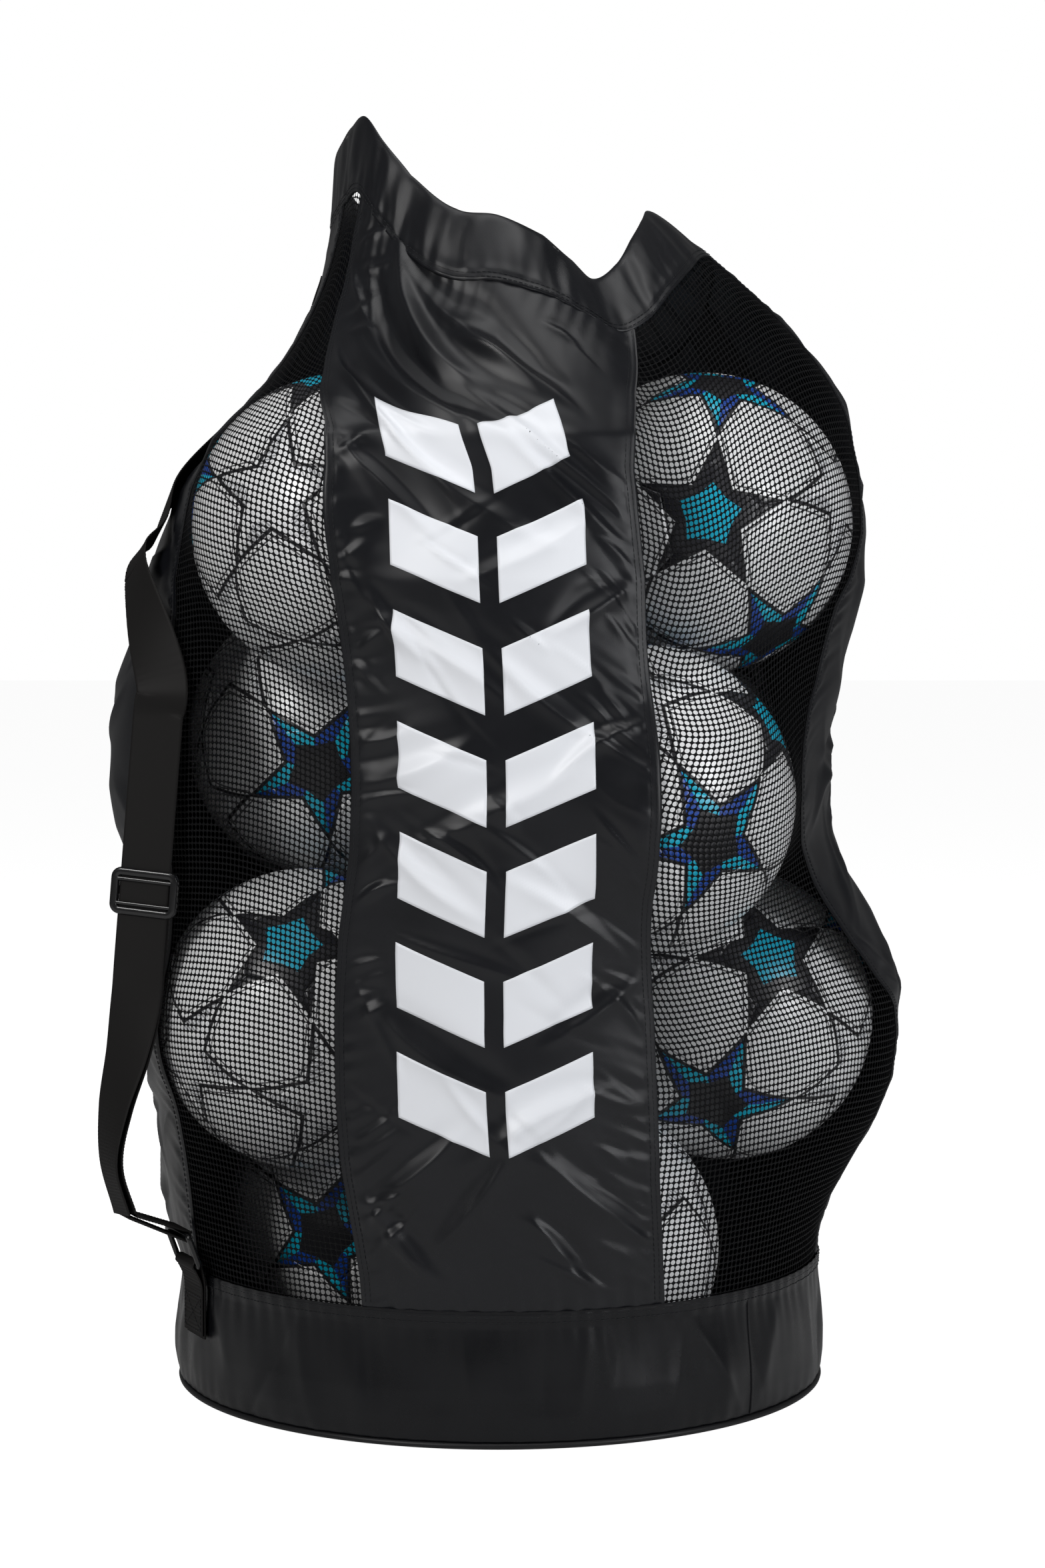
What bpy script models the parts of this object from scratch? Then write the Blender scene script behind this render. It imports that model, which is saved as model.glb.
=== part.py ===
"""Mesh ball bag: a round-bottomed carry bag of solid and mesh panels, full of balls,
with a drawcord hem, a cord lock and a webbing shoulder strap.

Metres, +Z up. The bag stands on z = 0 and its front panel faces -Y. Angles are degrees
round the z axis: 0 is the bag's right (+X), 90 its back, 180 its left, 270 its front.
"""

import math
from collections import namedtuple

import bmesh
import bpy
import numpy as np
from mathutils import Matrix, Vector

for old in list(bpy.data.objects):
    bpy.data.objects.remove(old)

# ---------------------------------------------------------------- driving dimensions
GAP = 0.0003  # clearance between neighbouring pieces
BALL_R = 0.110  # size 5 football, 220 mm across
BALL_INNER_R = 0.1073  # inside of its shell
VALVE_R = 0.0035
VALVE_CUT = 0.030  # length of the rod that cuts the valve hole
BALL_CLEAR = 0.0085  # bag fabric stands this far off a ball, to its mid surface
CLOTH = 0.0008  # coated nylon panel
NET = 0.0006  # mesh panel
BASE_R = 0.2385  # bottom disc
BASE_T = 0.0012
BOARD_R = 0.2335  # stiffener under the balls
BOARD_T = 0.0025
BAND_H = 0.0920  # top seam of the base band
SEAM_Z = BAND_H + GAP
PIPING_R = 0.0020
SHOULDER_Z = 0.700  # above this the panels gather towards the mouth
HEM_W = 0.055  # hem channel, measured down from the rim
HEM_HALF = 0.0030  # half the channel's thickness
HEM_WALL = 0.0008
TUCK = 0.004  # how far the panels reach up into the hem
CORD_R = 0.0015
CORD_D = 0.0050  # cord centre below the rim
EYELET_D = 0.016  # eyelet centre below the rim
EYELET_ANGLE = 7.0  # degrees either side of the back
WEB_W = 0.038  # webbing width
WEB_INNER_W = WEB_W - 0.001  # the return layer and the lower tab are a little narrower
WEB_T = 0.0016

# Ball centres (x, y, z): four loose layers, as they settle in the bag.
BALLS = (
    (-0.109, -0.120, 0.636), (0.149, -0.050, 0.640), (-0.127, 0.033, 0.478),
    (0.101, -0.146, 0.444), (-0.141, -0.072, 0.278), (0.171, 0.000, 0.272),
    (-0.100, 0.072, 0.1145), (0.050, -0.098, 0.1145), (-0.036, 0.155, 0.316),
    (0.105, 0.098, 0.478), (0.000, 0.112, 0.672),
)

# Girth profiles, (height, radius), up the middle of each solid panel and between them.
RIGHT = (
    (0.092, 0.238), (0.116, 0.240), (0.139, 0.2485), (0.169, 0.266), (0.198, 0.2835),
    (0.227, 0.2955), (0.262, 0.2995), (0.292, 0.2985), (0.327, 0.2895), (0.351, 0.278),
    (0.38, 0.26), (0.41, 0.2485), (0.433, 0.2443), (0.48, 0.2455), (0.533, 0.2543),
    (0.562, 0.263), (0.598, 0.2707), (0.633, 0.272), (0.68, 0.266), (0.70, 0.262),
)
LEFT = (
    (0.092, 0.238), (0.116, 0.2475), (0.151, 0.2515), (0.21, 0.259), (0.257, 0.2675),
    (0.33, 0.272), (0.392, 0.278), (0.415, 0.2868), (0.445, 0.292), (0.48, 0.291),
    (0.522, 0.2856), (0.551, 0.275), (0.574, 0.268), (0.598, 0.263), (0.665, 0.237),
    (0.686, 0.219), (0.70, 0.209),
)
BACK = ((0.092, 0.238), (0.2, 0.258), (0.32, 0.264), (0.45, 0.260), (0.6, 0.258), (0.70, 0.245))
FRONT = ((0.092, 0.238), (0.2, 0.250), (0.32, 0.252), (0.45, 0.255), (0.6, 0.250), (0.70, 0.225))
BETWEEN = ((0.092, 0.238), (0.2, 0.248), (0.35, 0.248), (0.6, 0.246), (0.70, 0.225))
PROFILE_SPREAD = 26.0  # degrees over which a panel's own profile fades

# Rim of the mouth, (angle, radius, height): highest at the front left, lowest at the front right.
RIM = (
    (0, 0.113, 0.862), (20, 0.128, 0.856), (50, 0.168, 0.852), (90, 0.193, 0.872),
    (130, 0.169, 0.885), (155, 0.136, 0.898), (180, 0.117, 0.914), (198, 0.113, 0.930),
    (212, 0.114, 0.934), (225, 0.115, 0.912), (237, 0.115, 0.886), (256, 0.124, 0.852),
    (270, 0.126, 0.845), (292, 0.131, 0.823), (306, 0.134, 0.802), (322, 0.124, 0.824),
    (340, 0.114, 0.856), (352, 0.113, 0.863),
)

# Panel joins are numbered 0 to 7, anticlockwise from above, from the right panel's back edge.
# Joins 0 to 4: (angle low down, angle at the rim).
JOINS = ((24, 28), (37, 34), (146, 146), (156, 152), (204, 188))
JOIN_TURN = 0.70  # share of the height at which these joins start to turn
# Joins that wander: both edges of the front panel (5 left, 6 right) and the front edge
# of the right panel (7), as (share of the height, angle).
WANDERING_JOINS = {
    5: (
        (0.0, 248.0), (0.063, 247.0), (0.117, 245.5), (0.182, 244.5), (0.25, 244.4),
        (0.315, 245.2), (0.385, 247.2), (0.44, 247.7), (0.484, 247.4), (0.53, 246.5),
        (0.577, 245.5), (0.639, 244.5), (0.70, 243.6), (0.735, 242.0), (0.79, 234.0),
        (0.844, 223.0), (0.90, 217.0), (1.0, 215.0),
    ),
    6: (
        (0.0, 297.8), (0.05, 297.0), (0.124, 295.6), (0.266, 294.3), (0.375, 292.6),
        (0.43, 292.1), (0.484, 292.2), (0.558, 292.9), (0.663, 292.8), (0.767, 292.6),
        (0.81, 293.8), (0.854, 296.3), (0.937, 303.0), (1.0, 306.0),
    ),
    7: (
        (0.0, 352.0), (0.10, 354.0), (0.20, 356.0), (0.235, 354.0), (0.262, 348.0),
        (0.295, 342.5), (0.326, 338.5), (0.36, 334.0), (0.397, 329.0), (0.432, 326.5),
        (0.461, 327.5), (0.483, 330.5), (0.509, 334.0), (0.534, 337.5), (0.563, 339.0),
        (0.593, 341.0), (0.639, 347.5), (0.70, 354.0), (0.77, 356.0), (0.85, 355.0),
        (0.93, 351.0), (1.0, 349.0),
    ),
}

# ---------------------------------------------------------------- finishes
Finish = namedtuple("Finish", "colour roughness metallic", defaults=(0.0,))

BLACK = (0.012, 0.013, 0.016)
DARK_CORD = (0.02, 0.02, 0.022)
PLASTIC = (0.010, 0.010, 0.011)

DISC_FINISH = Finish(colour=BLACK, roughness=0.55)
BOARD_FINISH = Finish(colour=(0.05, 0.05, 0.05), roughness=0.7)
NYLON_FINISH = Finish(colour=BLACK, roughness=0.5)
GLOSSY_NYLON_FINISH = Finish(colour=BLACK, roughness=0.45)
NET_FINISH = Finish(colour=(0.010, 0.010, 0.012), roughness=0.5)
TAPE_FINISH = Finish(colour=(0.015, 0.015, 0.016), roughness=0.7)
WEBBING_FINISH = Finish(colour=(0.014, 0.013, 0.013), roughness=0.75)
EYELET_FINISH = Finish(colour=(0.55, 0.55, 0.56), roughness=0.3, metallic=1.0)
SPRING_FINISH = Finish(colour=(0.6, 0.6, 0.6), roughness=0.3, metallic=1.0)
CORD_FINISH = Finish(colour=DARK_CORD, roughness=0.6)
BUTTON_FINISH = Finish(colour=DARK_CORD, roughness=0.35)
BARREL_FINISH = Finish(colour=PLASTIC, roughness=0.35)
CORD_END_FINISH = Finish(colour=PLASTIC, roughness=0.4)
ADJUSTER_FINISH = Finish(colour=PLASTIC, roughness=0.25)
RING_FINISH = Finish(colour=PLASTIC, roughness=0.3)
BALL_FINISH = Finish(colour=(0.62, 0.63, 0.65), roughness=0.35)


# ---------------------------------------------------------------- curves and directions
Z_AXIS = Vector((0, 0, 1))


def outward(angle, up=0.0):
    """Horizontal unit vector at this angle, with an optional z part."""
    return Vector((math.cos(math.radians(angle)), math.sin(math.radians(angle)), up))


def interpolate(table, x):
    xs, values = zip(*table)
    return float(np.interp(x, xs, values))


def smooth(x):
    x = min(max(x, 0.0), 1.0)
    return x * x * (3 - 2 * x)


def curve_point(p0, p1, p2, p3, t):
    """Catmull-Rom curve between p1 and p2."""
    bend = 2 * p0 - 5 * p1 + 4 * p2 - p3
    return 0.5 * (2 * p1 + (p2 - p0) * t + bend * t ** 2 + (3 * p1 - p0 - 3 * p2 + p3) * t ** 3)


def curve(points, steps):
    """Open Catmull-Rom curve through the vectors, with this many steps between each pair."""
    padded = [2 * points[0] - points[1], *points, 2 * points[-1] - points[-2]]
    path = [curve_point(*padded[i:i + 4], k / steps)
            for i in range(len(points) - 1) for k in range(steps)]
    return path + [points[-1]]


# ---------------------------------------------------------------- mid surface of the panels
SURFACE_COLUMNS, SURFACE_ROWS = 96, 60
# The push of the balls spreads over the cloth in repeated averaging passes.
PUSH_PASSES = 14
PUSH_KEEP, PUSH_VERTICAL, PUSH_SIDEWAYS = 0.34, 0.33, 0.33  # weights of self and neighbours
PUSH_DECAY = 0.985
SEAM_FADE_ROWS, RIM_FADE_ROWS = 6.0, 5.0  # the push dies out over these rows at each end
# How fast the bag gathers above the shoulder, on its left and on its right.
LEFT_GATHER, RIGHT_GATHER = 2.4, 1.65


def rim_at(angle):
    """Radius and height of the rim, on a closed curve through RIM."""
    angle %= 360.0
    count = len(RIM)
    k = max(i for i in range(count) if RIM[i][0] <= angle + 1e-9)
    start = RIM[k][0]
    end = RIM[(k + 1) % count][0] + (360 if k == count - 1 else 0)
    near = [np.array(RIM[(k + step) % count][1:]) for step in (-1, 0, 1, 2)]
    return curve_point(*near, (angle - start) / (end - start))


def slack_radius(angle, z):
    """Radius of the hanging bag with no ball behind it."""
    profile_z = min(z, SHOULDER_Z)
    base = interpolate(BETWEEN, profile_z)
    radius = base
    for centre, table in ((0, RIGHT), (90, BACK), (180, LEFT), (270, FRONT)):
        off = abs((angle - centre + 180.0) % 360.0 - 180.0)
        weight = math.exp(-((off / PROFILE_SPREAD) ** 2))
        radius += weight * (interpolate(table, profile_z) - base)
    if z > SHOULDER_Z:
        rim_radius, rim_z = rim_at(angle)
        t = min((z - SHOULDER_Z) / (rim_z - SHOULDER_Z), 1.0)
        left = 0.5 - 0.5 * math.cos(math.radians(angle))
        gather = left * (1 - (1 - t) ** LEFT_GATHER) + (1 - left) * t ** RIGHT_GATHER
        radius = radius * (1 - gather) + rim_radius * gather
    return radius


def ball_reach(angle, z):
    """How far out the balls hold the cloth along one horizontal ray."""
    dx, dy = math.cos(math.radians(angle)), math.sin(math.radians(angle))
    reach = 0.0
    for ball_x, ball_y, ball_z in BALLS:
        slice_sq = (BALL_R + BALL_CLEAR) ** 2 - (z - ball_z) ** 2
        along = ball_x * dx + ball_y * dy
        aside_sq = ball_x * ball_x + ball_y * ball_y - along * along
        if slice_sq > 0 and aside_sq < slice_sq and along > 0:
            reach = max(reach, along + math.sqrt(slice_sq - aside_sq))
    return reach


def build_surface():
    """Points[column][row], rows evenly spaced from seam to rim, and each column's length."""
    angles = np.arange(SURFACE_COLUMNS) * 360.0 / SURFACE_COLUMNS
    heights = np.zeros((SURFACE_ROWS + 1, SURFACE_COLUMNS))
    slack = np.zeros_like(heights)
    held = np.zeros_like(heights)
    for j, angle in enumerate(angles):
        rim_z = rim_at(angle)[1]
        for i in range(SURFACE_ROWS + 1):
            z = SEAM_Z + (rim_z - SEAM_Z) * i / SURFACE_ROWS
            heights[i, j] = z
            slack[i, j] = slack_radius(angle, z)
            held[i, j] = ball_reach(angle, z)

    need = np.maximum(held - slack, 0.0)
    push = need.copy()
    row = np.arange(SURFACE_ROWS + 1)[:, None]
    fade = np.clip(row / SEAM_FADE_ROWS, 0, 1) * np.clip((SURFACE_ROWS - row) / RIM_FADE_ROWS, 0, 1)
    for _ in range(PUSH_PASSES):
        vertical = 0.5 * (np.vstack([push[1:], push[-1:]]) + np.vstack([push[:1], push[:-1]]))
        sideways = 0.5 * (np.roll(push, 1, 1) + np.roll(push, -1, 1))
        spread = PUSH_KEEP * push + PUSH_VERTICAL * vertical + PUSH_SIDEWAYS * sideways
        push = np.maximum(need, spread * PUSH_DECAY) * fade

    radius = slack + push
    cos, sin = np.cos(np.radians(angles)), np.sin(np.radians(angles))
    points = np.stack([radius * cos, radius * sin, heights], axis=-1)
    # respace the rows by length along each column
    surface = np.zeros((SURFACE_COLUMNS, SURFACE_ROWS + 1, 3))
    lengths = np.zeros(SURFACE_COLUMNS)
    for j in range(SURFACE_COLUMNS):
        column = points[:, j]
        steps = np.linalg.norm(np.diff(column, axis=0), axis=1)
        run = np.concatenate([[0], np.cumsum(steps)])
        lengths[j] = run[-1]
        even = np.linspace(0, run[-1], SURFACE_ROWS + 1)
        for axis in range(3):
            surface[j, :, axis] = np.interp(even, run, column[:, axis])
    return surface, lengths


SURFACE, LENGTHS = build_surface()


def at_angle(values, angle):
    """Blends the values of the two surface columns either side of an angle."""
    place = (angle % 360.0) / 360.0 * SURFACE_COLUMNS
    j = int(place) % SURFACE_COLUMNS
    t = place - int(place)
    return values[j] * (1 - t) + values[(j + 1) % SURFACE_COLUMNS] * t


def skin(angle, u):
    """Point of the mid surface at this angle, u = 0 at the base seam and 1 at the rim."""
    column = at_angle(SURFACE, angle)
    place = min(max(u, 0.0), 1.0) * SURFACE_ROWS
    i = min(int(place), SURFACE_ROWS - 1)
    t = place - i
    return Vector(column[i] * (1 - t) + column[i + 1] * t)


def skin_normal(angle, u):
    """Outward normal, from points 3 degrees and 0.02 of the height to either side."""
    du, turn = 0.02, 3.0
    around = skin(angle + turn, u) - skin(angle - turn, u)
    upward = skin(angle, min(u + du, 1)) - skin(angle, max(u - du, 0))
    return around.cross(upward).normalized()


def lay(angle, z, standoff):
    """Point at this height, standing off the mid surface horizontally."""
    column = at_angle(SURFACE, angle)
    radius = float(np.interp(z, column[:, 2], np.hypot(column[:, 0], column[:, 1])))
    return outward(angle) * (radius + standoff) + Z_AXIS * z


def below_rim(angle, depth):
    """The u that lies this far down the cloth from the rim."""
    return 1.0 - depth / at_angle(LENGTHS, angle)


def join_angle(join, share):
    if join in WANDERING_JOINS:
        return interpolate(WANDERING_JOINS[join], share)
    low, top = JOINS[join]
    return low + (top - low) * smooth((share - JOIN_TURN) / (1 - JOIN_TURN))


# ---------------------------------------------------------------- mesh helpers
SHARP_ANGLE = math.radians(40)


def material(name, finish):
    mat = bpy.data.materials.new(name)
    mat.use_nodes = True
    shader = mat.node_tree.nodes["Principled BSDF"]
    shader.inputs["Base Color"].default_value = (*finish.colour, 1)
    shader.inputs["Roughness"].default_value = finish.roughness
    shader.inputs["Metallic"].default_value = finish.metallic
    mat.diffuse_color = (*finish.colour, 1)
    return mat


def shade(mesh):
    for face in mesh.polygons:
        face.use_smooth = True
    mesh.set_sharp_from_angle(angle=SHARP_ANGLE)


def add(name, mesh, finish):
    obj = bpy.data.objects.new(name, mesh)
    bpy.context.scene.collection.objects.link(obj)
    mesh.materials.append(material(name + "_mat", finish))
    shade(mesh)
    return obj


def to_mesh(bm, name):
    mesh = bpy.data.meshes.new(name)
    bm.to_mesh(mesh)
    bm.free()
    return mesh


def outward_mesh(bm, name):
    """Turns all faces outward, then makes the mesh."""
    bmesh.ops.recalc_face_normals(bm, faces=bm.faces)
    return to_mesh(bm, name)


def loft(name, rings, finish, closed=False, split=None):
    """Joins rings of points, each a closed loop, into one body. With split, each side is
    two triangles; the strips named in split use the other diagonal, so thin walls stay parallel."""
    bm = bmesh.new()
    rows = [[bm.verts.new(point) for point in ring] for ring in rings]
    sides = len(rows[0])
    pairs = list(zip(rows, rows[1:]))
    if closed:
        pairs.append((rows[-1], rows[0]))
    for this, other in pairs:
        for j in range(sides):
            a, b, c, d = this[j], this[(j + 1) % sides], other[(j + 1) % sides], other[j]
            if split is None:
                bm.faces.new((a, b, c, d))
            elif j in split:
                bm.faces.new((a, b, d))
                bm.faces.new((b, c, d))
            else:
                bm.faces.new((a, b, c))
                bm.faces.new((a, c, d))
    if not closed:
        bm.faces.new(list(reversed(rows[0])))
        bm.faces.new(rows[-1])
    return add(name, outward_mesh(bm, name), finish)


def sheet(name, columns, rows, place, thickness, finish):
    """A thin closed panel; place gives the point and normal at shares (up, across)."""
    bm = bmesh.new()
    grid = []
    for i in range(rows + 1):
        grid.append([])
        for j in range(columns + 1):
            point, normal = place(i / rows, j / columns)
            half = normal * thickness / 2
            grid[i].append((bm.verts.new(point + half), bm.verts.new(point - half)))
    for i in range(rows):
        for j in range(columns):
            a, b, c, d = grid[i][j], grid[i][j + 1], grid[i + 1][j + 1], grid[i + 1][j]
            # both skins share one diagonal, so that the thin wall keeps its thickness
            bm.faces.new((a[0], b[0], c[0]))
            bm.faces.new((a[0], c[0], d[0]))
            bm.faces.new((c[1], b[1], a[1]))
            bm.faces.new((d[1], c[1], a[1]))
    edge = [grid[0][j] for j in range(columns)] + [grid[i][columns] for i in range(rows)]
    edge += [grid[rows][j] for j in range(columns, 0, -1)] + [grid[i][0] for i in range(rows, 0, -1)]
    for a, b in zip(edge, edge[1:] + edge[:1]):
        bm.faces.new((b[0], a[0], a[1], b[1]))
    return add(name, outward_mesh(bm, name), finish)


def ribbon(name, path, across, width=WEB_W):
    """Flat webbing along a path; across gives its width direction at each point."""
    rings = []
    last = len(path) - 1
    for i, point in enumerate(path):
        along = (path[min(i + 1, last)] - path[max(i - 1, 0)]).normalized()
        side = (across[i] - along * across[i].dot(along)).normalized()
        half_t = along.cross(side) * WEB_T / 2
        half_w = side * width / 2
        rings.append([point + half_w + half_t, point - half_w + half_t,
                      point - half_w - half_t, point + half_w - half_t])
    return loft(name, rings, WEBBING_FINISH)


def tube(name, path, radius, sides, finish, closed=False):
    """Round cord or wire along a path, with a frame carried along it."""
    count = len(path)
    rings = []
    up = None
    for i, point in enumerate(path):
        ahead = path[(i + 1) % count] if closed or i < count - 1 else point
        behind = path[i - 1] if closed or i else point
        along = (ahead - behind).normalized()
        if up is None:
            up = Z_AXIS if abs(along.z) < 0.9 else Vector((1, 0, 0))
        up = (up - along * up.dot(along)).normalized()
        side = along.cross(up)
        turns = [k * math.tau / sides for k in range(sides)]
        rings.append([point + (up * math.cos(t) + side * math.sin(t)) * radius for t in turns])
    return loft(name, rings, finish, closed)


def lathe(name, profile, steps, frame, finish):
    """Revolves (radius, height) points, a closed loop if it has a bore, about frame's z."""
    bm = bmesh.new()
    turns = [k * math.tau / steps for k in range(steps)]
    rings = []
    for radius, height in profile:
        if radius == 0:
            points = [(0, 0, height)]
        else:
            points = [(radius * math.cos(t), radius * math.sin(t), height) for t in turns]
        rings.append([bm.verts.new(frame @ Vector(point)) for point in points])
    pairs = list(zip(rings, rings[1:]))
    if all(radius > 0 for radius, _ in profile):
        pairs.append((rings[-1], rings[0]))
    for a, b in pairs:
        for k in range(steps):
            q = (k + 1) % steps
            if len(a) == 1:
                bm.faces.new((a[0], b[k], b[q]))
            elif len(b) == 1:
                bm.faces.new((a[k], a[q], b[0]))
            else:
                bm.faces.new((a[k], a[q], b[q], b[k]))
    return add(name, outward_mesh(bm, name), finish)


def frame_of(origin, z_axis, x_axis):
    """Frame with this z axis, its x axis as near x_axis as it can be."""
    z = z_axis.normalized()
    x = (x_axis - z * x_axis.dot(z)).normalized()
    frame = Matrix((x, z.cross(x), z)).transposed().to_4x4()
    frame.translation = origin
    return frame


def box_mesh(size, frame, name="cutter"):
    bm = bmesh.new()
    bmesh.ops.create_cube(bm, size=1.0)
    bmesh.ops.scale(bm, vec=Vector(size), verts=bm.verts)
    bmesh.ops.transform(bm, matrix=frame, verts=bm.verts)
    return outward_mesh(bm, name)


def rod_mesh(radius, length, steps, frame):
    bm = bmesh.new()
    bmesh.ops.create_cone(bm, cap_ends=True, segments=steps, radius1=radius, radius2=radius,
                          depth=length)
    bmesh.ops.transform(bm, matrix=frame, verts=bm.verts)
    return outward_mesh(bm, "cutter")


def cut(obj, mesh):
    """Subtracts a helper solid with one exact boolean, then removes the helper."""
    tool = bpy.data.objects.new("cutter", mesh)
    bpy.context.scene.collection.objects.link(tool)
    tool.hide_render = True
    mod = obj.modifiers.new("cut", "BOOLEAN")
    mod.operation = "DIFFERENCE"
    mod.solver = "EXACT"
    mod.object = tool
    depsgraph = bpy.context.evaluated_depsgraph_get()
    done = bpy.data.meshes.new_from_object(obj.evaluated_get(depsgraph), depsgraph=depsgraph)
    obj.modifiers.remove(mod)
    uncut = obj.data
    obj.data = done
    done.name = obj.name
    bpy.data.meshes.remove(uncut)
    bpy.data.objects.remove(tool)
    shade(done)


# ---------------------------------------------------------------- base
BASE_STEPS = 48
BOARD_STEPS = 40
PIPING_Z = PIPING_R + GAP
BOARD_Z = BASE_T + GAP
# mid surface of the band, (radius, height); it starts just above the piping
BAND_PROFILE = (
    (0.2412, PIPING_Z + PIPING_R + 2 * GAP), (0.2425, 0.022), (0.2420, 0.050),
    (0.2400, 0.074), (0.2384, BAND_H),
)
BAND_OUTER_R = max(r for r, _ in BAND_PROFILE) + CLOTH / 2


def build_disc(name, radius, bottom, thickness, steps, finish):
    top = bottom + thickness
    lathe(name, [(0, bottom), (radius, bottom), (radius, top), (0, top)], steps, Matrix(), finish)


def build_piping():
    radius = BASE_R + GAP + PIPING_R
    path = [outward(k * 360 / BASE_STEPS) * radius + Z_AXIS * PIPING_Z for k in range(BASE_STEPS)]
    tube("base_piping", path, PIPING_R, 6, NYLON_FINISH, closed=True)


def build_band():
    outer = [(r + CLOTH / 2, z) for r, z in BAND_PROFILE]
    inner = [(r - CLOTH / 2, z) for r, z in reversed(BAND_PROFILE)]
    lathe("base_band", outer + inner, BASE_STEPS, Matrix(), GLOSSY_NYLON_FINISH)


build_disc("base_disc", BASE_R, 0.0, BASE_T, BASE_STEPS, DISC_FINISH)
build_disc("base_board", BOARD_R, BOARD_Z, BOARD_T, BOARD_STEPS, BOARD_FINISH)
build_piping()
build_band()

# ---------------------------------------------------------------- panels and seam tapes
# (name, first join, second join, columns, thickness, finish)
PANELS = (
    ("right_panel", 7, 0, 6, CLOTH, NYLON_FINISH),
    ("mesh_back_right", 0, 1, 2, NET, NET_FINISH),
    ("back_panel", 1, 2, 11, CLOTH, NYLON_FINISH),
    ("mesh_back_left", 2, 3, 2, NET, NET_FINISH),
    ("left_panel", 3, 4, 6, CLOTH, NYLON_FINISH),
    ("mesh_front_left", 4, 5, 5, NET, NET_FINISH),
    ("front_panel", 5, 6, 6, CLOTH, NYLON_FINISH),
    ("mesh_front_right", 6, 7, 8, NET, NET_FINISH),
)
HALF_GAP = 0.00025  # half the gap between neighbouring panels
PANEL_ROWS = 20
TAPE_W = 0.007
TAPE_T = 0.0006
TAPE_INSET = 0.0024  # tape centre inside the mid surface


def tucked(angle, share):
    """The u at this share of a panel's height; its last row sits inside the hem channel."""
    return share * below_rim(angle, HEM_W - TUCK)


def build_panel(name, first, second, columns, thickness, finish):
    def place(up, across):
        start, end = join_angle(first, up), join_angle(second, up)
        if end < start:
            end += 360.0
        inset = math.degrees(HALF_GAP / skin(start, up).xy.length)
        angle = start + inset + (end - start - 2 * inset) * across
        u = tucked(angle, up)
        return skin(angle, u), skin_normal(angle, u)

    sheet(name, columns, PANEL_ROWS, place, thickness, finish)


def build_seam_tape(join):
    """Binding tape inside a join, on the panels' own rows but for the first and last."""
    def place(up, across):
        share = (1 + up * (PANEL_ROWS - 2)) / PANEL_ROWS
        angle = join_angle(join, share)
        u = tucked(angle, share)
        normal = skin_normal(angle, u)
        offset = math.degrees((across - 0.5) * TAPE_W / skin(angle, u).xy.length)
        return skin(angle + offset, u) - normal * TAPE_INSET, normal

    sheet("seam_tape_%d" % (join + 1), 1, PANEL_ROWS - 2, place, TAPE_T, TAPE_FINISH)


for panel in PANELS:
    build_panel(*panel)
for seam in range(len(PANELS)):
    build_seam_tape(seam)

# ---------------------------------------------------------------- hem channel and eyelets
HEM_STEPS = 64
HEM_FOLD = 0.0011  # thickness of the fold along the rim
# section open at the bottom, (depth below the rim, offset outward from the mid surface)
HEM_SECTION = (
    (HEM_W, HEM_HALF), (0, HEM_HALF), (0, -HEM_HALF), (HEM_W, -HEM_HALF),
    (HEM_W, -HEM_HALF + HEM_WALL), (HEM_FOLD, -HEM_HALF + HEM_WALL),
    (HEM_FOLD, HEM_HALF - HEM_WALL), (HEM_W, HEM_HALF - HEM_WALL),
)
EYELET_STEPS = 16
EYELET_HOLE_R = 0.0037
EYELET_CUT = 0.0030  # length of the rod that cuts the hole
# (radius, height off the hem's outer face)
EYELET_PROFILE = (
    (0.0028, -0.0006), (0.0033, -0.0006), (0.0033, 0.0006), (0.0060, 0.0006),
    (0.0060, 0.0011), (0.0054, 0.0015), (0.0032, 0.0015), (0.0028, 0.0011),
)


def hem_normal(angle):
    return skin_normal(angle, below_rim(angle, HEM_W / 2))


def hem_point(angle, depth, offset=0.0):
    return skin(angle, below_rim(angle, depth)) + hem_normal(angle) * offset


def build_hem():
    rings = []
    for i in range(HEM_STEPS):
        angle = i * 360.0 / HEM_STEPS
        rings.append([hem_point(angle, depth, offset) for depth, offset in HEM_SECTION])
    return loft("hem_channel", rings, GLOSSY_NYLON_FINISH, closed=True, split=(2, 6))


def build_eyelet(name, angle, hem):
    """Cuts the hole through the hem's outer wall and sets the metal ring in it."""
    normal = hem_normal(angle)
    wall_middle = hem_point(angle, EYELET_D, HEM_HALF - HEM_WALL / 2)
    hole_frame = frame_of(wall_middle, normal, Z_AXIS)
    cut(hem, rod_mesh(EYELET_HOLE_R, EYELET_CUT, EYELET_STEPS, hole_frame))
    face_frame = frame_of(hem_point(angle, EYELET_D, HEM_HALF), normal, Z_AXIS)
    lathe(name, EYELET_PROFILE, EYELET_STEPS, face_frame, EYELET_FINISH)


hem_channel = build_hem()
build_eyelet("eyelet_right", 90 - EYELET_ANGLE, hem_channel)
build_eyelet("eyelet_left", 90 + EYELET_ANGLE, hem_channel)

# ---------------------------------------------------------------- drawcord and cord lock
TAIL_TOP = Vector((0.0, 0.2210, 0.8150))
TAIL_DIR = Vector((0.0, 0.42, -1.0)).normalized()
TAIL_LEN = 0.125
TAIL_HALF_PITCH = 0.0019  # half the distance between the two hanging cords
EYELET_EXITS = (0.0085, 0.0048, 0.0016)  # cord points outward of the eyelet's place
CORD_STEPS = 60
# The cord follows the rim between these angles, going round by the front.
CORD_START, CORD_END = 18 * 360.0 / HEM_STEPS, 78 * 360.0 / HEM_STEPS
CORD_DIP_STEPS = 3.0  # steps at each end over which it dips towards the eyelet
CORD_DIP = 0.85  # share of the way down to the eyelet's depth

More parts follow.
